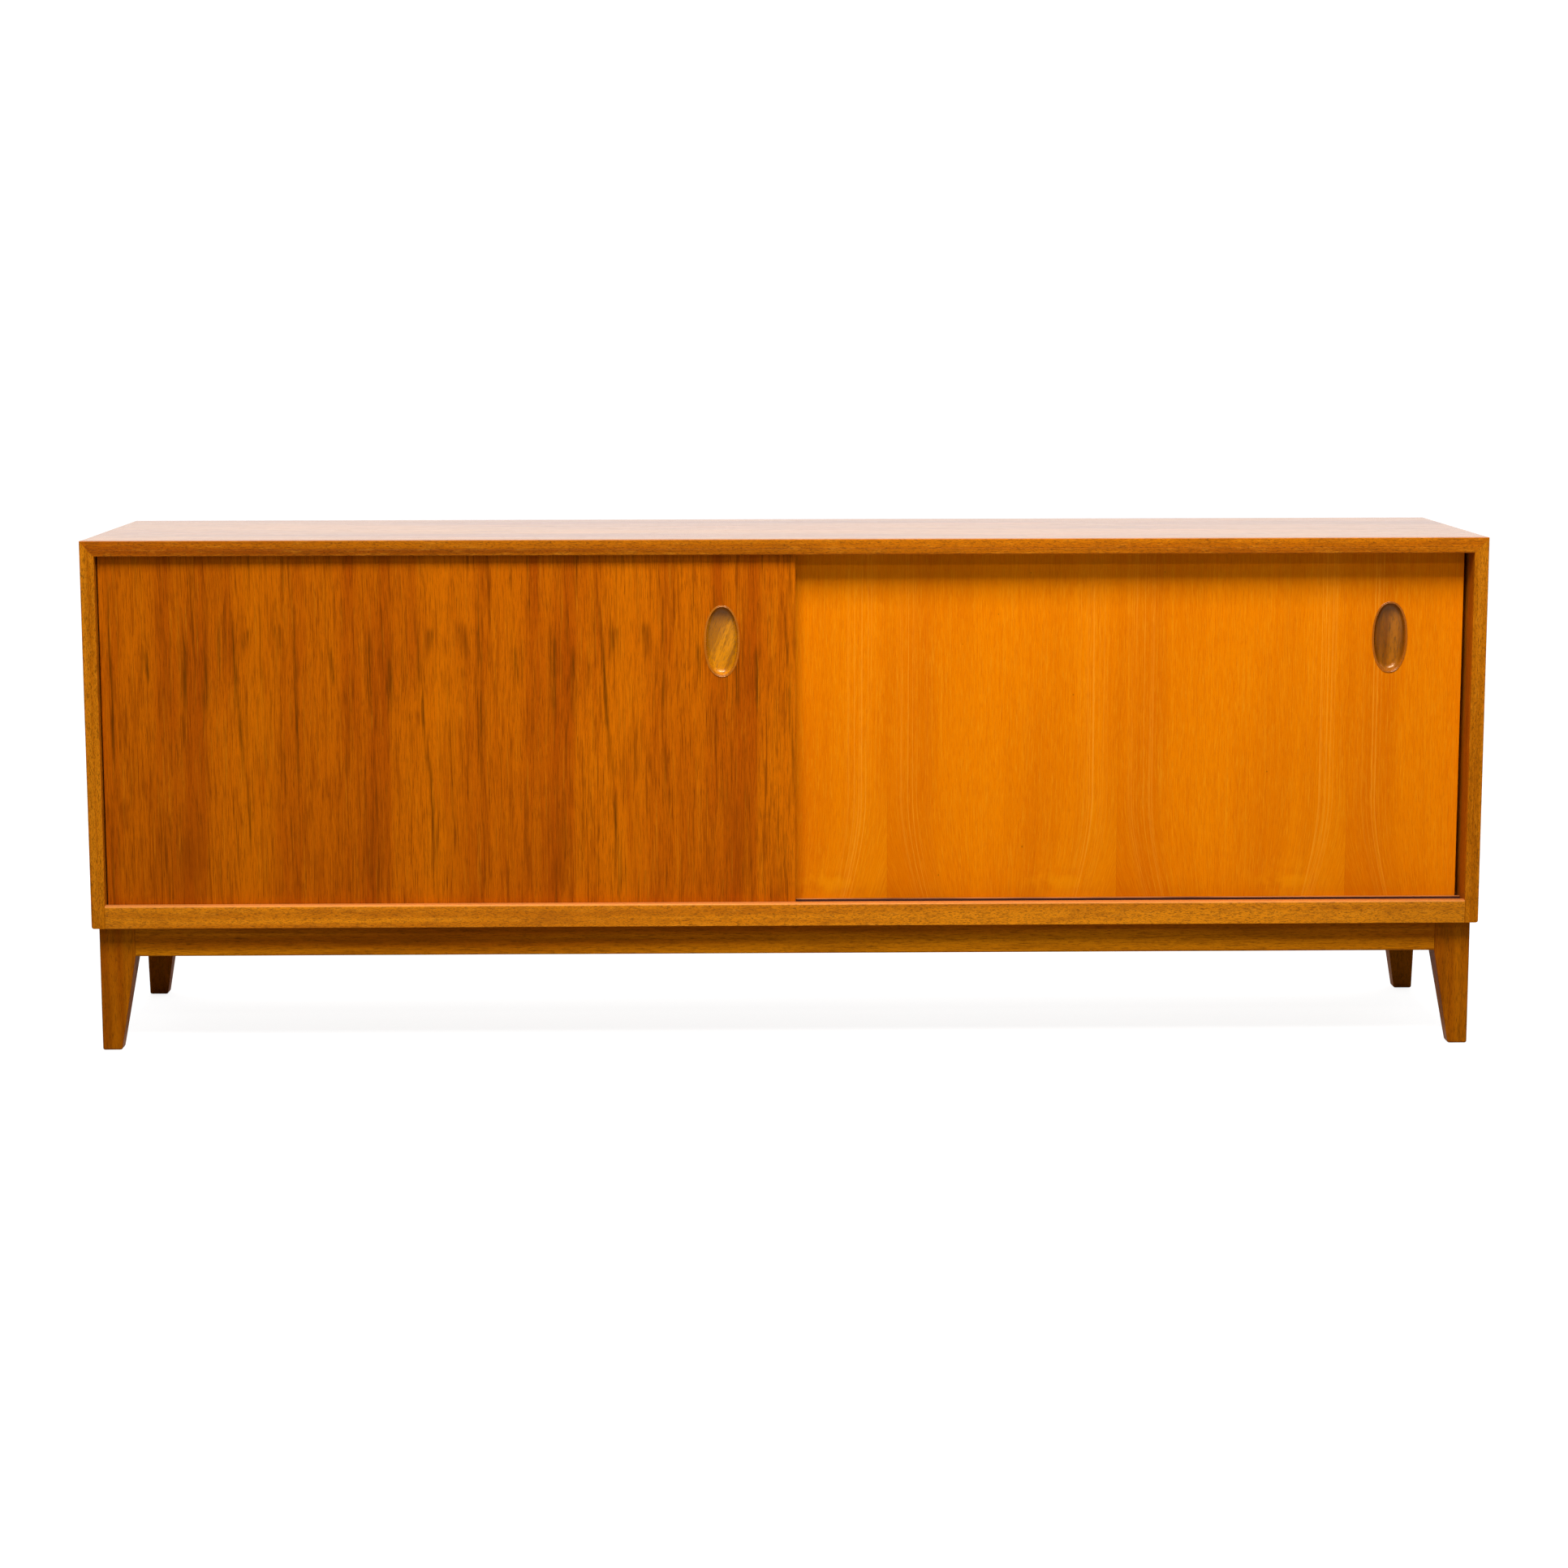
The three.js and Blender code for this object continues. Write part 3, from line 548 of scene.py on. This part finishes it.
MAKERS = {
    "left door veneer": left_door_veneer,
    "right door veneer": right_door_veneer,
    "top veneer": plain_wood("Top veneer", "X", "top", DARK_FIGURE[1:], specular=0.5, coat=0.6, bands=9.0),
    "side veneer": plain_wood("Side veneer", "Z", "side", DARK_FIGURE[1:], bands=12.0),
    "top lipping wood": lipping_wood,
    "rail wood": rail_wood,
    "edge wood up": plain_wood("Edge wood, upright", "Z", "edge", EDGE_FIGURE, bands=50.0, wander=0.004,
                               specular=0.4),
    "inside veneer": plain_wood("Inside veneer", "X", "inside", PALE_FIGURE, bands=10.0),
    "inside upright": plain_wood("Inside veneer, upright", "Z", "inside", PALE_FIGURE, bands=10.0),
    "back plywood": plain_wood("Back plywood", "Z", "back", PALE_FIGURE, bands=24.0, wander=0.03, flow=1.0),
    "track wood": track_wood,
    "leg wood": plain_wood("Leg wood", "Z", "base", BASE_FIGURE, bands=30.0),
    "apron wood": plain_wood("Apron wood", "X", "apron", BASE_FIGURE, bands=30.0, specular=0.10, gloss=0.5),
    "side apron wood": plain_wood("Side apron wood", "Y", "apron", BASE_FIGURE, bands=30.0),
    "left pull wood": lambda: pull_wood("left", 0.42),
    "right pull wood": lambda: pull_wood("right", 0.05),
    "brass": lambda: plain_metal("Pin brass", linear(0x9C7A38), linear(0xC8A860), 0.25),
    "steel": lambda: plain_metal("Screw steel", linear(0x8A8A8A), linear(0xB4B4B4), 0.3),
    "nylon": nylon,
}
made_finishes = {}


def finish_of(name):
    if name not in made_finishes:
        made_finishes[name] = MAKERS[name]()
    return made_finishes[name]


# ---------------------------------------------------------------- mesh work
def weigh_normals(piece):
    """Lets the broad faces set the shading of the small ones beside them."""
    even = piece.modifiers.new("Even shading", "WEIGHTED_NORMAL")
    even.mode = "FACE_AREA"
    even.weight = 100
    return even


def even_shading(piece, smooth_angle):
    """Smooth shading across the arrises, with the broad faces kept flat."""
    for face in piece.data.polygons:
        face.use_smooth = True
    piece.data.set_sharp_from_angle(angle=math.radians(smooth_angle))
    weigh_normals(piece).keep_sharp = True


def carve(piece, cutter_work):
    """Cuts one closed shape out of a piece's mesh."""
    bmesh.ops.recalc_face_normals(cutter_work, faces=cutter_work.faces)
    cutter_mesh = bpy.data.meshes.new("cutter")
    cutter_work.to_mesh(cutter_mesh)
    cutter_work.free()
    cutter = bpy.data.objects.new("cutter", cutter_mesh)
    bpy.context.scene.collection.objects.link(cutter)
    cut = piece.modifiers.new("Cut", "BOOLEAN")
    cut.operation = "DIFFERENCE"
    cut.solver = "EXACT"
    cut.object = cutter
    bpy.context.view_layer.update()
    shaped = bpy.data.meshes.new_from_object(piece.evaluated_get(bpy.context.evaluated_depsgraph_get()))
    piece.modifiers.clear()
    whole = piece.data
    piece.data = shaped
    bpy.data.objects.remove(cutter)
    bpy.data.meshes.remove(cutter_mesh)
    bpy.data.meshes.remove(whole)


def add_piece(name, mesh_work, finish_name, body, node, smooth_angle=35.0, cutter=None):
    """Turns mesh work into a finished piece that rides on a body and stands for a CAD node."""
    bmesh.ops.recalc_face_normals(mesh_work, faces=mesh_work.faces)
    mesh = bpy.data.meshes.new(name)
    mesh_work.to_mesh(mesh)
    mesh_work.free()
    mesh.materials.append(finish_of(finish_name))
    piece = bpy.data.objects.new(name, mesh)
    bpy.context.scene.collection.objects.link(piece)
    if cutter is not None:
        carve(piece, cutter)
    even_shading(piece, smooth_angle)
    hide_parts(node)
    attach(piece, body)


def dress_node(name, finish_name, arris=None, segments=2):
    """Keeps a CAD node: eases its edges and gives it a finish."""
    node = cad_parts[name]
    weld = node.modifiers.new("Join corners", "WELD")
    weld.merge_threshold = 0.01 * MM
    bevel = node.modifiers.new("Ease edges", "BEVEL")
    bevel.width = sizes().board_arris if arris is None else arris
    bevel.segments = segments
    bevel.limit_method = "ANGLE"
    bevel.angle_limit = math.radians(50)
    weigh_normals(node)
    node.data.materials.clear()
    node.data.materials.append(finish_of(finish_name))


def cornered(low, high):
    """Mesh work of a sharp box between two corners."""
    work = bmesh.new()
    middle = (Vector(low) + Vector(high)) / 2
    span = Vector(high) - Vector(low)
    bmesh.ops.create_cube(work, size=1.0, matrix=Matrix.Translation(middle) @ Matrix.Diagonal((*span, 1.0)))
    return work


def ease_edges(work, radius, segments=3, where=None):
    """Rounds the edges of mesh work that are sharp and that the test picks out."""
    work.edges.ensure_lookup_table()
    chosen = [e for e in work.edges if len(e.link_faces) == 2
              and e.calc_face_angle(0.0) > math.radians(30)
              and (where is None or where((e.verts[0].co + e.verts[1].co) / 2, e))]
    bmesh.ops.bevel(work, geom=chosen, offset=radius, segments=segments, profile=0.5,
                    affect="EDGES", clamp_overlap=True)


def stacked(rings):
    """Mesh work of a skin through rings of points, with both ends capped."""
    work = bmesh.new()
    rows = [[work.verts.new(p) for p in ring] for ring in rings]
    count = len(rows[0])
    for lower, upper in zip(rows, rows[1:]):
        for i in range(count):
            j = (i + 1) % count
            work.faces.new((lower[i], lower[j], upper[j], upper[i]))
    work.faces.new(list(reversed(rows[0])))
    work.faces.new(rows[-1])
    return work


def quarter_round(centre, radius, start):
    """Points of a quarter circle that turns on from the angle start."""
    return [(centre[0] + radius * math.cos(start + math.pi / 2 * i / ROUND_STEPS),
             centre[1] + radius * math.sin(start + math.pi / 2 * i / ROUND_STEPS))
            for i in range(ROUND_STEPS + 1)]


def rounded_foot(radius):
    """Pairs (how far in, how far up) from the flat of a rounded foot to its upright face."""
    turns = [math.pi / 2 * i / ROUND_STEPS for i in range(ROUND_STEPS + 1)]
    return [(radius * (1 - math.sin(turn)), radius * (1 - math.cos(turn))) for turn in turns]


def full_oval(half_width, half_height, fullness=2.2):
    """Points round an oval with slightly fuller shoulders than an ellipse."""
    power = 2.0 / fullness
    points = []
    for i in range(OVAL_STEPS):
        turn = 2 * math.pi * (i + 0.5) / OVAL_STEPS
        c, d = math.cos(turn), math.sin(turn)
        points.append((math.copysign(abs(c) ** power, c) * half_width,
                       math.copysign(abs(d) ** power, d) * half_height))
    return points


# ---------------------------------------------------------------- operators
class SIDEBOARD_OT_case(bpy.types.Operator):
    """Dresses the top, sides, bottom, back, divider and shelves of the case."""
    bl_idname = "sideboard.case"
    bl_label = "Case boards"

    def execute(self, context):
        boards = {
            "top_panel": "top veneer",
            "left_side_panel": "side veneer",
            "right_side_panel": "side veneer",
            "bottom_panel": "inside veneer",
            "centre_divider": "inside upright",
            "back_panel": "back plywood",
            "left_shelf": "inside veneer",
            "right_shelf": "inside veneer",
        }
        for name, finish_name in boards.items():
            dress_node(name, finish_name)
        return {"FINISHED"}


class SIDEBOARD_OT_lippings(bpy.types.Operator):
    """Builds the solid wood lippings on the front of the top and sides."""
    bl_idname = "sideboard.lippings"
    bl_label = "Lippings"

    def execute(self, context):
        s = sizes()
        top_low, top_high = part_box("top_lipping")
        side_low, side_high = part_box("left_lipping")
        top_thick, side_thick = top_high.z - top_low.z, side_high.x - side_low.x

        outline = self.outline(s, top_thick, s.lipping_flat, top_high.y - top_low.y)
        rings = [[(end * (top_high.x - inward * side_thick / top_thick), top_low.y + back,
                   top_high.z - inward) for inward, back in outline] for end in (-1, 1)]
        add_piece("lipping_top", stacked(rings), "top lipping wood", "case", "top_lipping")

        outline = self.outline(s, side_thick, s.lipping_flat * side_thick / top_thick,
                               side_high.y - side_low.y)
        for side, word in ((-1, "left"), (1, "right")):
            low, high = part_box(f"{word}_lipping")
            outer = low.x if side < 0 else high.x
            rings = [[(outer - side * (drawn + inward * (1 - drawn / side_thick)), low.y + back, low.z + up)
                      for inward, back in outline] for drawn, up in rounded_foot(s.lipping_foot)]
            rings.append([(outer - side * inward, low.y + back, high.z - inward * top_thick / side_thick)
                          for inward, back in outline])
            add_piece(f"lipping_{word}", stacked(rings), "edge wood up", "case",
                      f"{word}_lipping")
        return {"FINISHED"}

    @staticmethod
    def outline(s, thick, flat, depth):
        """Section of a lipping: an arris, a flat, a fine groove and an inner chamfer.

        Each point is (how far in from the outer face, how far behind the front).
        """
        r, inner, groove = s.lipping_arris, s.lipping_inner, s.lipping_groove
        points = quarter_round((r, r), r, math.pi)
        points += [(flat - groove, 0.0), (flat, groove), (flat + groove, 0.3 * groove)]
        points += quarter_round((thick - inner, s.lipping_fall + inner), inner, -math.pi / 2)
        return points + [(thick, depth), (0.0, depth)]


class SIDEBOARD_OT_rail(bpy.types.Operator):
    """Builds the bottom rail under the doors and dresses the door track behind it."""
    bl_idname = "sideboard.rail"
    bl_label = "Bottom rail and track"

    def execute(self, context):
        low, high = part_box("bottom_rail")
        work = cornered(low, high)
        ease_edges(work, sizes().rail_arris, 5,
                   lambda middle, edge: middle.z > high.z - TOUCHING and middle.y < low.y + TOUCHING)
        ease_edges(work, 0.6 * MM, 2,
                   lambda middle, edge: middle.z < low.z + TOUCHING and middle.y < low.y + TOUCHING)
        add_piece("rail", work, "rail wood", "case", "bottom_rail")
        dress_node("bottom_track", "track wood")
        return {"FINISHED"}


class SIDEBOARD_OT_doors(bpy.types.Operator):
    """Builds the two sliding doors with the pockets for their pulls."""
    bl_idname = "sideboard.doors"
    bl_label = "Sliding doors"

    def execute(self, context):
        for word in ("left", "right"):
            low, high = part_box(f"{word}_door")
            work = cornered(low, high)
            ease_edges(work, sizes().door_arris, 3)
            add_piece(f"door_{word}", work, f"{word} door veneer", f"{word}_door",
                      f"{word}_door", cutter=self.pocket(word))
        return {"FINISHED"}

    @staticmethod
    def pocket(word):
        """The oval that is cut out of a door for its pull."""
        low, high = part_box(f"{word}_door_pull")
        middle = (low + high) / 2
        lap = 1.3 * MM                # the rim laps over the pocket's edge by this much
        oval = full_oval((high.x - low.x) / 2 - lap, (high.z - low.z) / 2 - lap)
        return stacked([[(middle.x + x, y, middle.z + z) for x, z in oval]
                        for y in (low.y - 10 * MM, high.y + 0.2 * MM)])


class SIDEBOARD_OT_pulls(bpy.types.Operator):
    """Builds the oval recessed pulls."""
    bl_idname = "sideboard.pulls"
    bl_label = "Recessed pulls"

    def execute(self, context):
        for word in ("left", "right"):
            low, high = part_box(f"{word}_door_pull")
            middle = (low + high) / 2
            half_width, half_height = (high.x - low.x) / 2, (high.z - low.z) / 2
            face = low.y + 1.0 * MM       # the rim stands this far out of the door
            neck = 1.5 * MM               # the part inside the door is this much narrower
            section = [(neck, high.y - face), (neck, -0.15 * MM)] + self.bowl(half_width)
            rings = [self.oval(middle, half_width, half_height, inward, face + back)
                     for inward, back in section]
            add_piece(f"pull_{word}", stacked(rings), f"{word} pull wood", f"{word}_door",
                      f"{word}_door_pull", smooth_angle=50.0)
        return {"FINISHED"}

    @staticmethod
    def bowl(half_width):
        """Section of the rim and bowl: (how far in from the outer edge, how far behind the face)."""
        bead = sizes().pull_bead / MM
        rim, wall, wall_depth, deep = 2.9, 8.0, 9.3, 11.5
        section = [(0.0, -0.15), (0.0, -0.5), (0.2, -0.82), (0.6, -0.97), (0.95, -0.9),
                   (1.2, bead - 0.95), (1.5, bead - 0.9), (1.8, -0.8), (2.2, -0.86), (2.6, -0.6), (rim, -0.1)]
        steps = 10
        for i in range(1, steps + 1):
            turn = math.pi / 2 * i / steps
            section.append((rim + wall * (1 - math.cos(turn)), wall_depth * math.sin(turn)))
        section += [(17.0, 10.4), (21.5, deep * 0.97), (half_width / MM - 0.3, deep)]
        return [(inward * MM, back * MM) for inward, back in section]

    @staticmethod
    def oval(middle, half_width, half_height, inward, y):
        """One ring of a pull, which gets rounder towards the bottom of the bowl."""
        share = min(1.0, inward / half_width)
        tall = half_height - inward - (half_height - half_width) * share ** 3
        return [(middle.x + x, y, middle.z + z) for x, z in full_oval(half_width - inward, tall)]


class SIDEBOARD_OT_glides(bpy.types.Operator):
    """Dresses the nylon glides under the doors."""
    bl_idname = "sideboard.glides"
    bl_label = "Door glides"

    def execute(self, context):
        for word in ("left", "right"):
            for number in (1, 2):
                dress_node(f"{word}_door_glide_{number}", "nylon", 0.4 * MM, 3)
        return {"FINISHED"}


class SIDEBOARD_OT_legs(bpy.types.Operator):
    """Builds the four tapered legs."""
    bl_idname = "sideboard.legs"
    bl_label = "Tapered legs"

    def execute(self, context):
        for name in ("front_left", "rear_left", "front_right", "rear_right"):
            low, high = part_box(f"{name}_leg")
            rings = [self.ring(z, inset, low, high) for inset, z in self.levels(high)]
            add_piece(f"leg_{name}", stacked(rings), "leg wood", "case", f"{name}_leg")
        return {"FINISHED"}

    @staticmethod
    def levels(high):
        """Pairs (how far the outline is drawn in, height) from the foot up."""
        eased = 0.4 * MM
        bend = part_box("front_apron")[0].z
        return rounded_foot(sizes().foot_round) + [(0.0, bend), (0.0, high.z - eased),
                                                     (eased, high.z)]

    @staticmethod
    def ring(z, inset, low, high):
        """Rounded outline at one height: the outer faces are upright, and the inner ones taper."""
        up = min(1.0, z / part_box("front_apron")[0].z)
        width, depth = (foot + (top - foot) * up for foot, top in zip(LEG_FOOT, LEG_TOP))
        x0, x1 = (low.x, low.x + width) if low.x < 0 else (high.x - width, high.x)
        y0, y1 = (low.y, low.y + depth) if low.y < 0 else (high.y - depth, high.y)
        x0, x1, y0, y1 = x0 + inset, x1 - inset, y0 + inset, y1 - inset
        r = max(0.3 * MM, min(sizes().leg_round, (x1 - x0) / 3, (y1 - y0) / 3) - inset * 0.5)
        points = []
        for centre, turns in (((x1 - r, y1 - r), 0.0), ((x0 + r, y1 - r), 0.5), ((x0 + r, y0 + r), 1.0),
                              ((x1 - r, y0 + r), 1.5)):
            points += quarter_round(centre, r, math.pi * turns)
        return [(x, y, z) for x, y in points]


class SIDEBOARD_OT_aprons(bpy.types.Operator):
    """Builds the four aprons between the legs."""
    bl_idname = "sideboard.aprons"
    bl_label = "Aprons"

    def execute(self, context):
        for word in ("front", "rear", "left", "right"):
            low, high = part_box(f"{word}_apron")
            work = cornered(low, high)
            ease_edges(work, sizes().apron_arris, 4,
                       lambda middle, edge: middle.z < low.z + TOUCHING and edge.calc_length() > 0.1)
            wood = "apron wood" if word in ("front", "rear") else "side apron wood"
            add_piece(f"apron_{word}", work, wood, "case", f"{word}_apron")
        return {"FINISHED"}


class SIDEBOARD_OT_fittings(bpy.types.Operator):
    """Dresses the cross rail, corner blocks, shelf pins and screws."""
    bl_idname = "sideboard.fittings"
    bl_label = "Hidden woodwork and fittings"

    def execute(self, context):
        dress_node("centre_cross_rail", "side apron wood")
        for name in sorted(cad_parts):
            if name.endswith("corner_block"):
                dress_node(name, "apron wood")
            elif "_screw" in name:
                dress_node(name, "steel", 0.25 * MM)
            elif "_pin_" in name:
                dress_node(name, "brass", 0.3 * MM)
        return {"FINISHED"}


class SIDEBOARD_OT_stage(bpy.types.Operator):
    """Sets up the camera, the pale floor and the soft studio light."""
    bl_idname = "sideboard.stage"
    bl_label = "Camera, floor and lights"

    def execute(self, context):
        st = context.scene.sideboard_stage
        self.camera(context, st)
        self.floor(context, st)
        self.room(context, st)
        self.light(context, "Key light", *KEY_LIGHT, st.key)
        self.light(context, "Fill light", *FILL_LIGHT, st.fill)
        context.scene.view_settings.view_transform = "Standard"
        return {"FINISHED"}

    @staticmethod
    def camera(context, st):
        data = bpy.data.cameras.new("Camera")
        data.sensor_width = 36.0
        data.lens = st.lens
        data.clip_end = 200.0
        camera = bpy.data.objects.new("Camera", data)
        camera.matrix_world = (Matrix.Translation(st.place) @ Matrix.Rotation(-st.yaw, 4, "Z")
                               @ Matrix.Rotation(math.pi / 2 - st.pitch, 4, "X")
                               @ Matrix.Rotation(st.roll, 4, "Z"))
        context.scene.collection.objects.link(camera)
        context.scene.camera = camera

    @staticmethod
    def floor(context, st):
        """A pale floor that shows the camera some light of its own, so that shadows stay soft."""
        work = bmesh.new()
        bmesh.ops.create_circle(work, cap_ends=True, segments=96, radius=60.0)
        mesh = bpy.data.meshes.new("floor")
        work.to_mesh(mesh)
        work.free()
        floor = bpy.data.objects.new("floor", mesh)
        context.scene.collection.objects.link(floor)
        pale = bpy.data.materials.new("Pale floor")
        pale.use_nodes = True
        nodes, links = pale.node_tree.nodes, pale.node_tree.links
        shader = nodes["Principled BSDF"]
        shader.inputs["Base Color"].default_value = (st.floor_grey, st.floor_grey, st.floor_grey, 1.0)
        shader.inputs["Roughness"].default_value = 0.9
        shader.inputs["Specular IOR Level"].default_value = 0.1
        shader.inputs["Emission Color"].default_value = (1.0, 1.0, 1.0, 1.0)
        path = nodes.new("ShaderNodeLightPath")
        lift = nodes.new("ShaderNodeMath")
        lift.operation = "MULTIPLY"
        lift.inputs[1].default_value = st.floor_lift
        links.new(path.outputs["Is Camera Ray"], lift.inputs[0])
        links.new(lift.outputs[0], shader.inputs["Emission Strength"])
        floor.data.materials.append(pale)

    @staticmethod
    def room(context, st):
        """White behind the piece for the camera, and light that grows towards +Y for all the rest."""
        world = bpy.data.worlds.new("Studio")
        world.use_nodes = True
        tree = world.node_tree
        tree.nodes.clear()
        where = tree.nodes.new("ShaderNodeTexCoord")
        split = tree.nodes.new("ShaderNodeSeparateXYZ")
        tree.links.new(where.outputs["Generated"], split.inputs[0])
        swing = tree.nodes.new("ShaderNodeMapRange")
        swing.interpolation_type = "SMOOTHSTEP"
        for socket, value in zip(swing.inputs[1:5], (-0.15, 0.6, 0.06, 1.4)):
            socket.default_value = value
        tree.links.new(split.outputs[1], swing.inputs[0])
        dim = tree.nodes.new("ShaderNodeMath")
        dim.operation = "MULTIPLY"
        dim.inputs[1].default_value = st.room
        tree.links.new(swing.outputs[0], dim.inputs[0])
        path = tree.nodes.new("ShaderNodeLightPath")
        pick = tree.nodes.new("ShaderNodeMath")
        pick.operation = "MAXIMUM"
        tree.links.new(path.outputs["Is Camera Ray"], pick.inputs[0])
        tree.links.new(dim.outputs[0], pick.inputs[1])
        background = tree.nodes.new("ShaderNodeBackground")
        tree.links.new(pick.outputs[0], background.inputs["Strength"])
        output = tree.nodes.new("ShaderNodeOutputWorld")
        tree.links.new(background.outputs[0], output.inputs["Surface"])
        background.inputs["Color"].default_value = (1.0, 1.0, 1.0, 1.0)
        context.scene.world = world

    @staticmethod
    def light(context, name, place, target, width, height, power):
        data = bpy.data.lights.new(name, "AREA")
        data.shape = "RECTANGLE"
        data.size, data.size_y = width, height
        data.energy = power
        lamp = bpy.data.objects.new(name, data)
        lamp.location = place
        aim = Vector(target) - Vector(place)
        lamp.rotation_euler = aim.to_track_quat("-Z", "Y").to_euler()
        context.scene.collection.objects.link(lamp)


class SIDEBOARD_PT_panel(bpy.types.Panel):
    """Lists the builders in the sidebar."""
    bl_label = "Sideboard"
    bl_idname = "SIDEBOARD_PT_panel"
    bl_space_type = "VIEW_3D"
    bl_region_type = "UI"
    bl_category = "Sideboard"

    def draw(self, context):
        for group in (context.scene.sideboard_sizes, context.scene.sideboard_colours,
                      context.scene.sideboard_stage):
            box = self.layout.box()
            for key in group.__annotations__:
                box.prop(group, key)
        for operator in OPERATORS:
            self.layout.operator(operator.bl_idname)


GROUPS = (SideboardSizes, SideboardColours, SideboardStage)
OPERATORS = (SIDEBOARD_OT_stage, SIDEBOARD_OT_case, SIDEBOARD_OT_lippings, SIDEBOARD_OT_rail,
             SIDEBOARD_OT_doors, SIDEBOARD_OT_pulls, SIDEBOARD_OT_glides, SIDEBOARD_OT_legs,
             SIDEBOARD_OT_aprons, SIDEBOARD_OT_fittings)


def register():
    for item in (*GROUPS, *OPERATORS, SIDEBOARD_PT_panel):
        bpy.utils.register_class(item)
    bpy.types.Scene.sideboard_sizes = PointerProperty(type=SideboardSizes)
    bpy.types.Scene.sideboard_colours = PointerProperty(type=SideboardColours)
    bpy.types.Scene.sideboard_stage = PointerProperty(type=SideboardStage)


def unregister():
    del bpy.types.Scene.sideboard_stage
    del bpy.types.Scene.sideboard_colours
    del bpy.types.Scene.sideboard_sizes
    for item in reversed((*GROUPS, *OPERATORS, SIDEBOARD_PT_panel)):
        bpy.utils.unregister_class(item)


def main():
    register()
    bpy.ops.sideboard.stage()
    bpy.ops.sideboard.case()
    bpy.ops.sideboard.lippings()
    bpy.ops.sideboard.rail()
    bpy.ops.sideboard.doors()
    bpy.ops.sideboard.pulls()
    bpy.ops.sideboard.glides()
    bpy.ops.sideboard.legs()
    bpy.ops.sideboard.aprons()
    bpy.ops.sideboard.fittings()


if __name__ == "__main__":
    main()
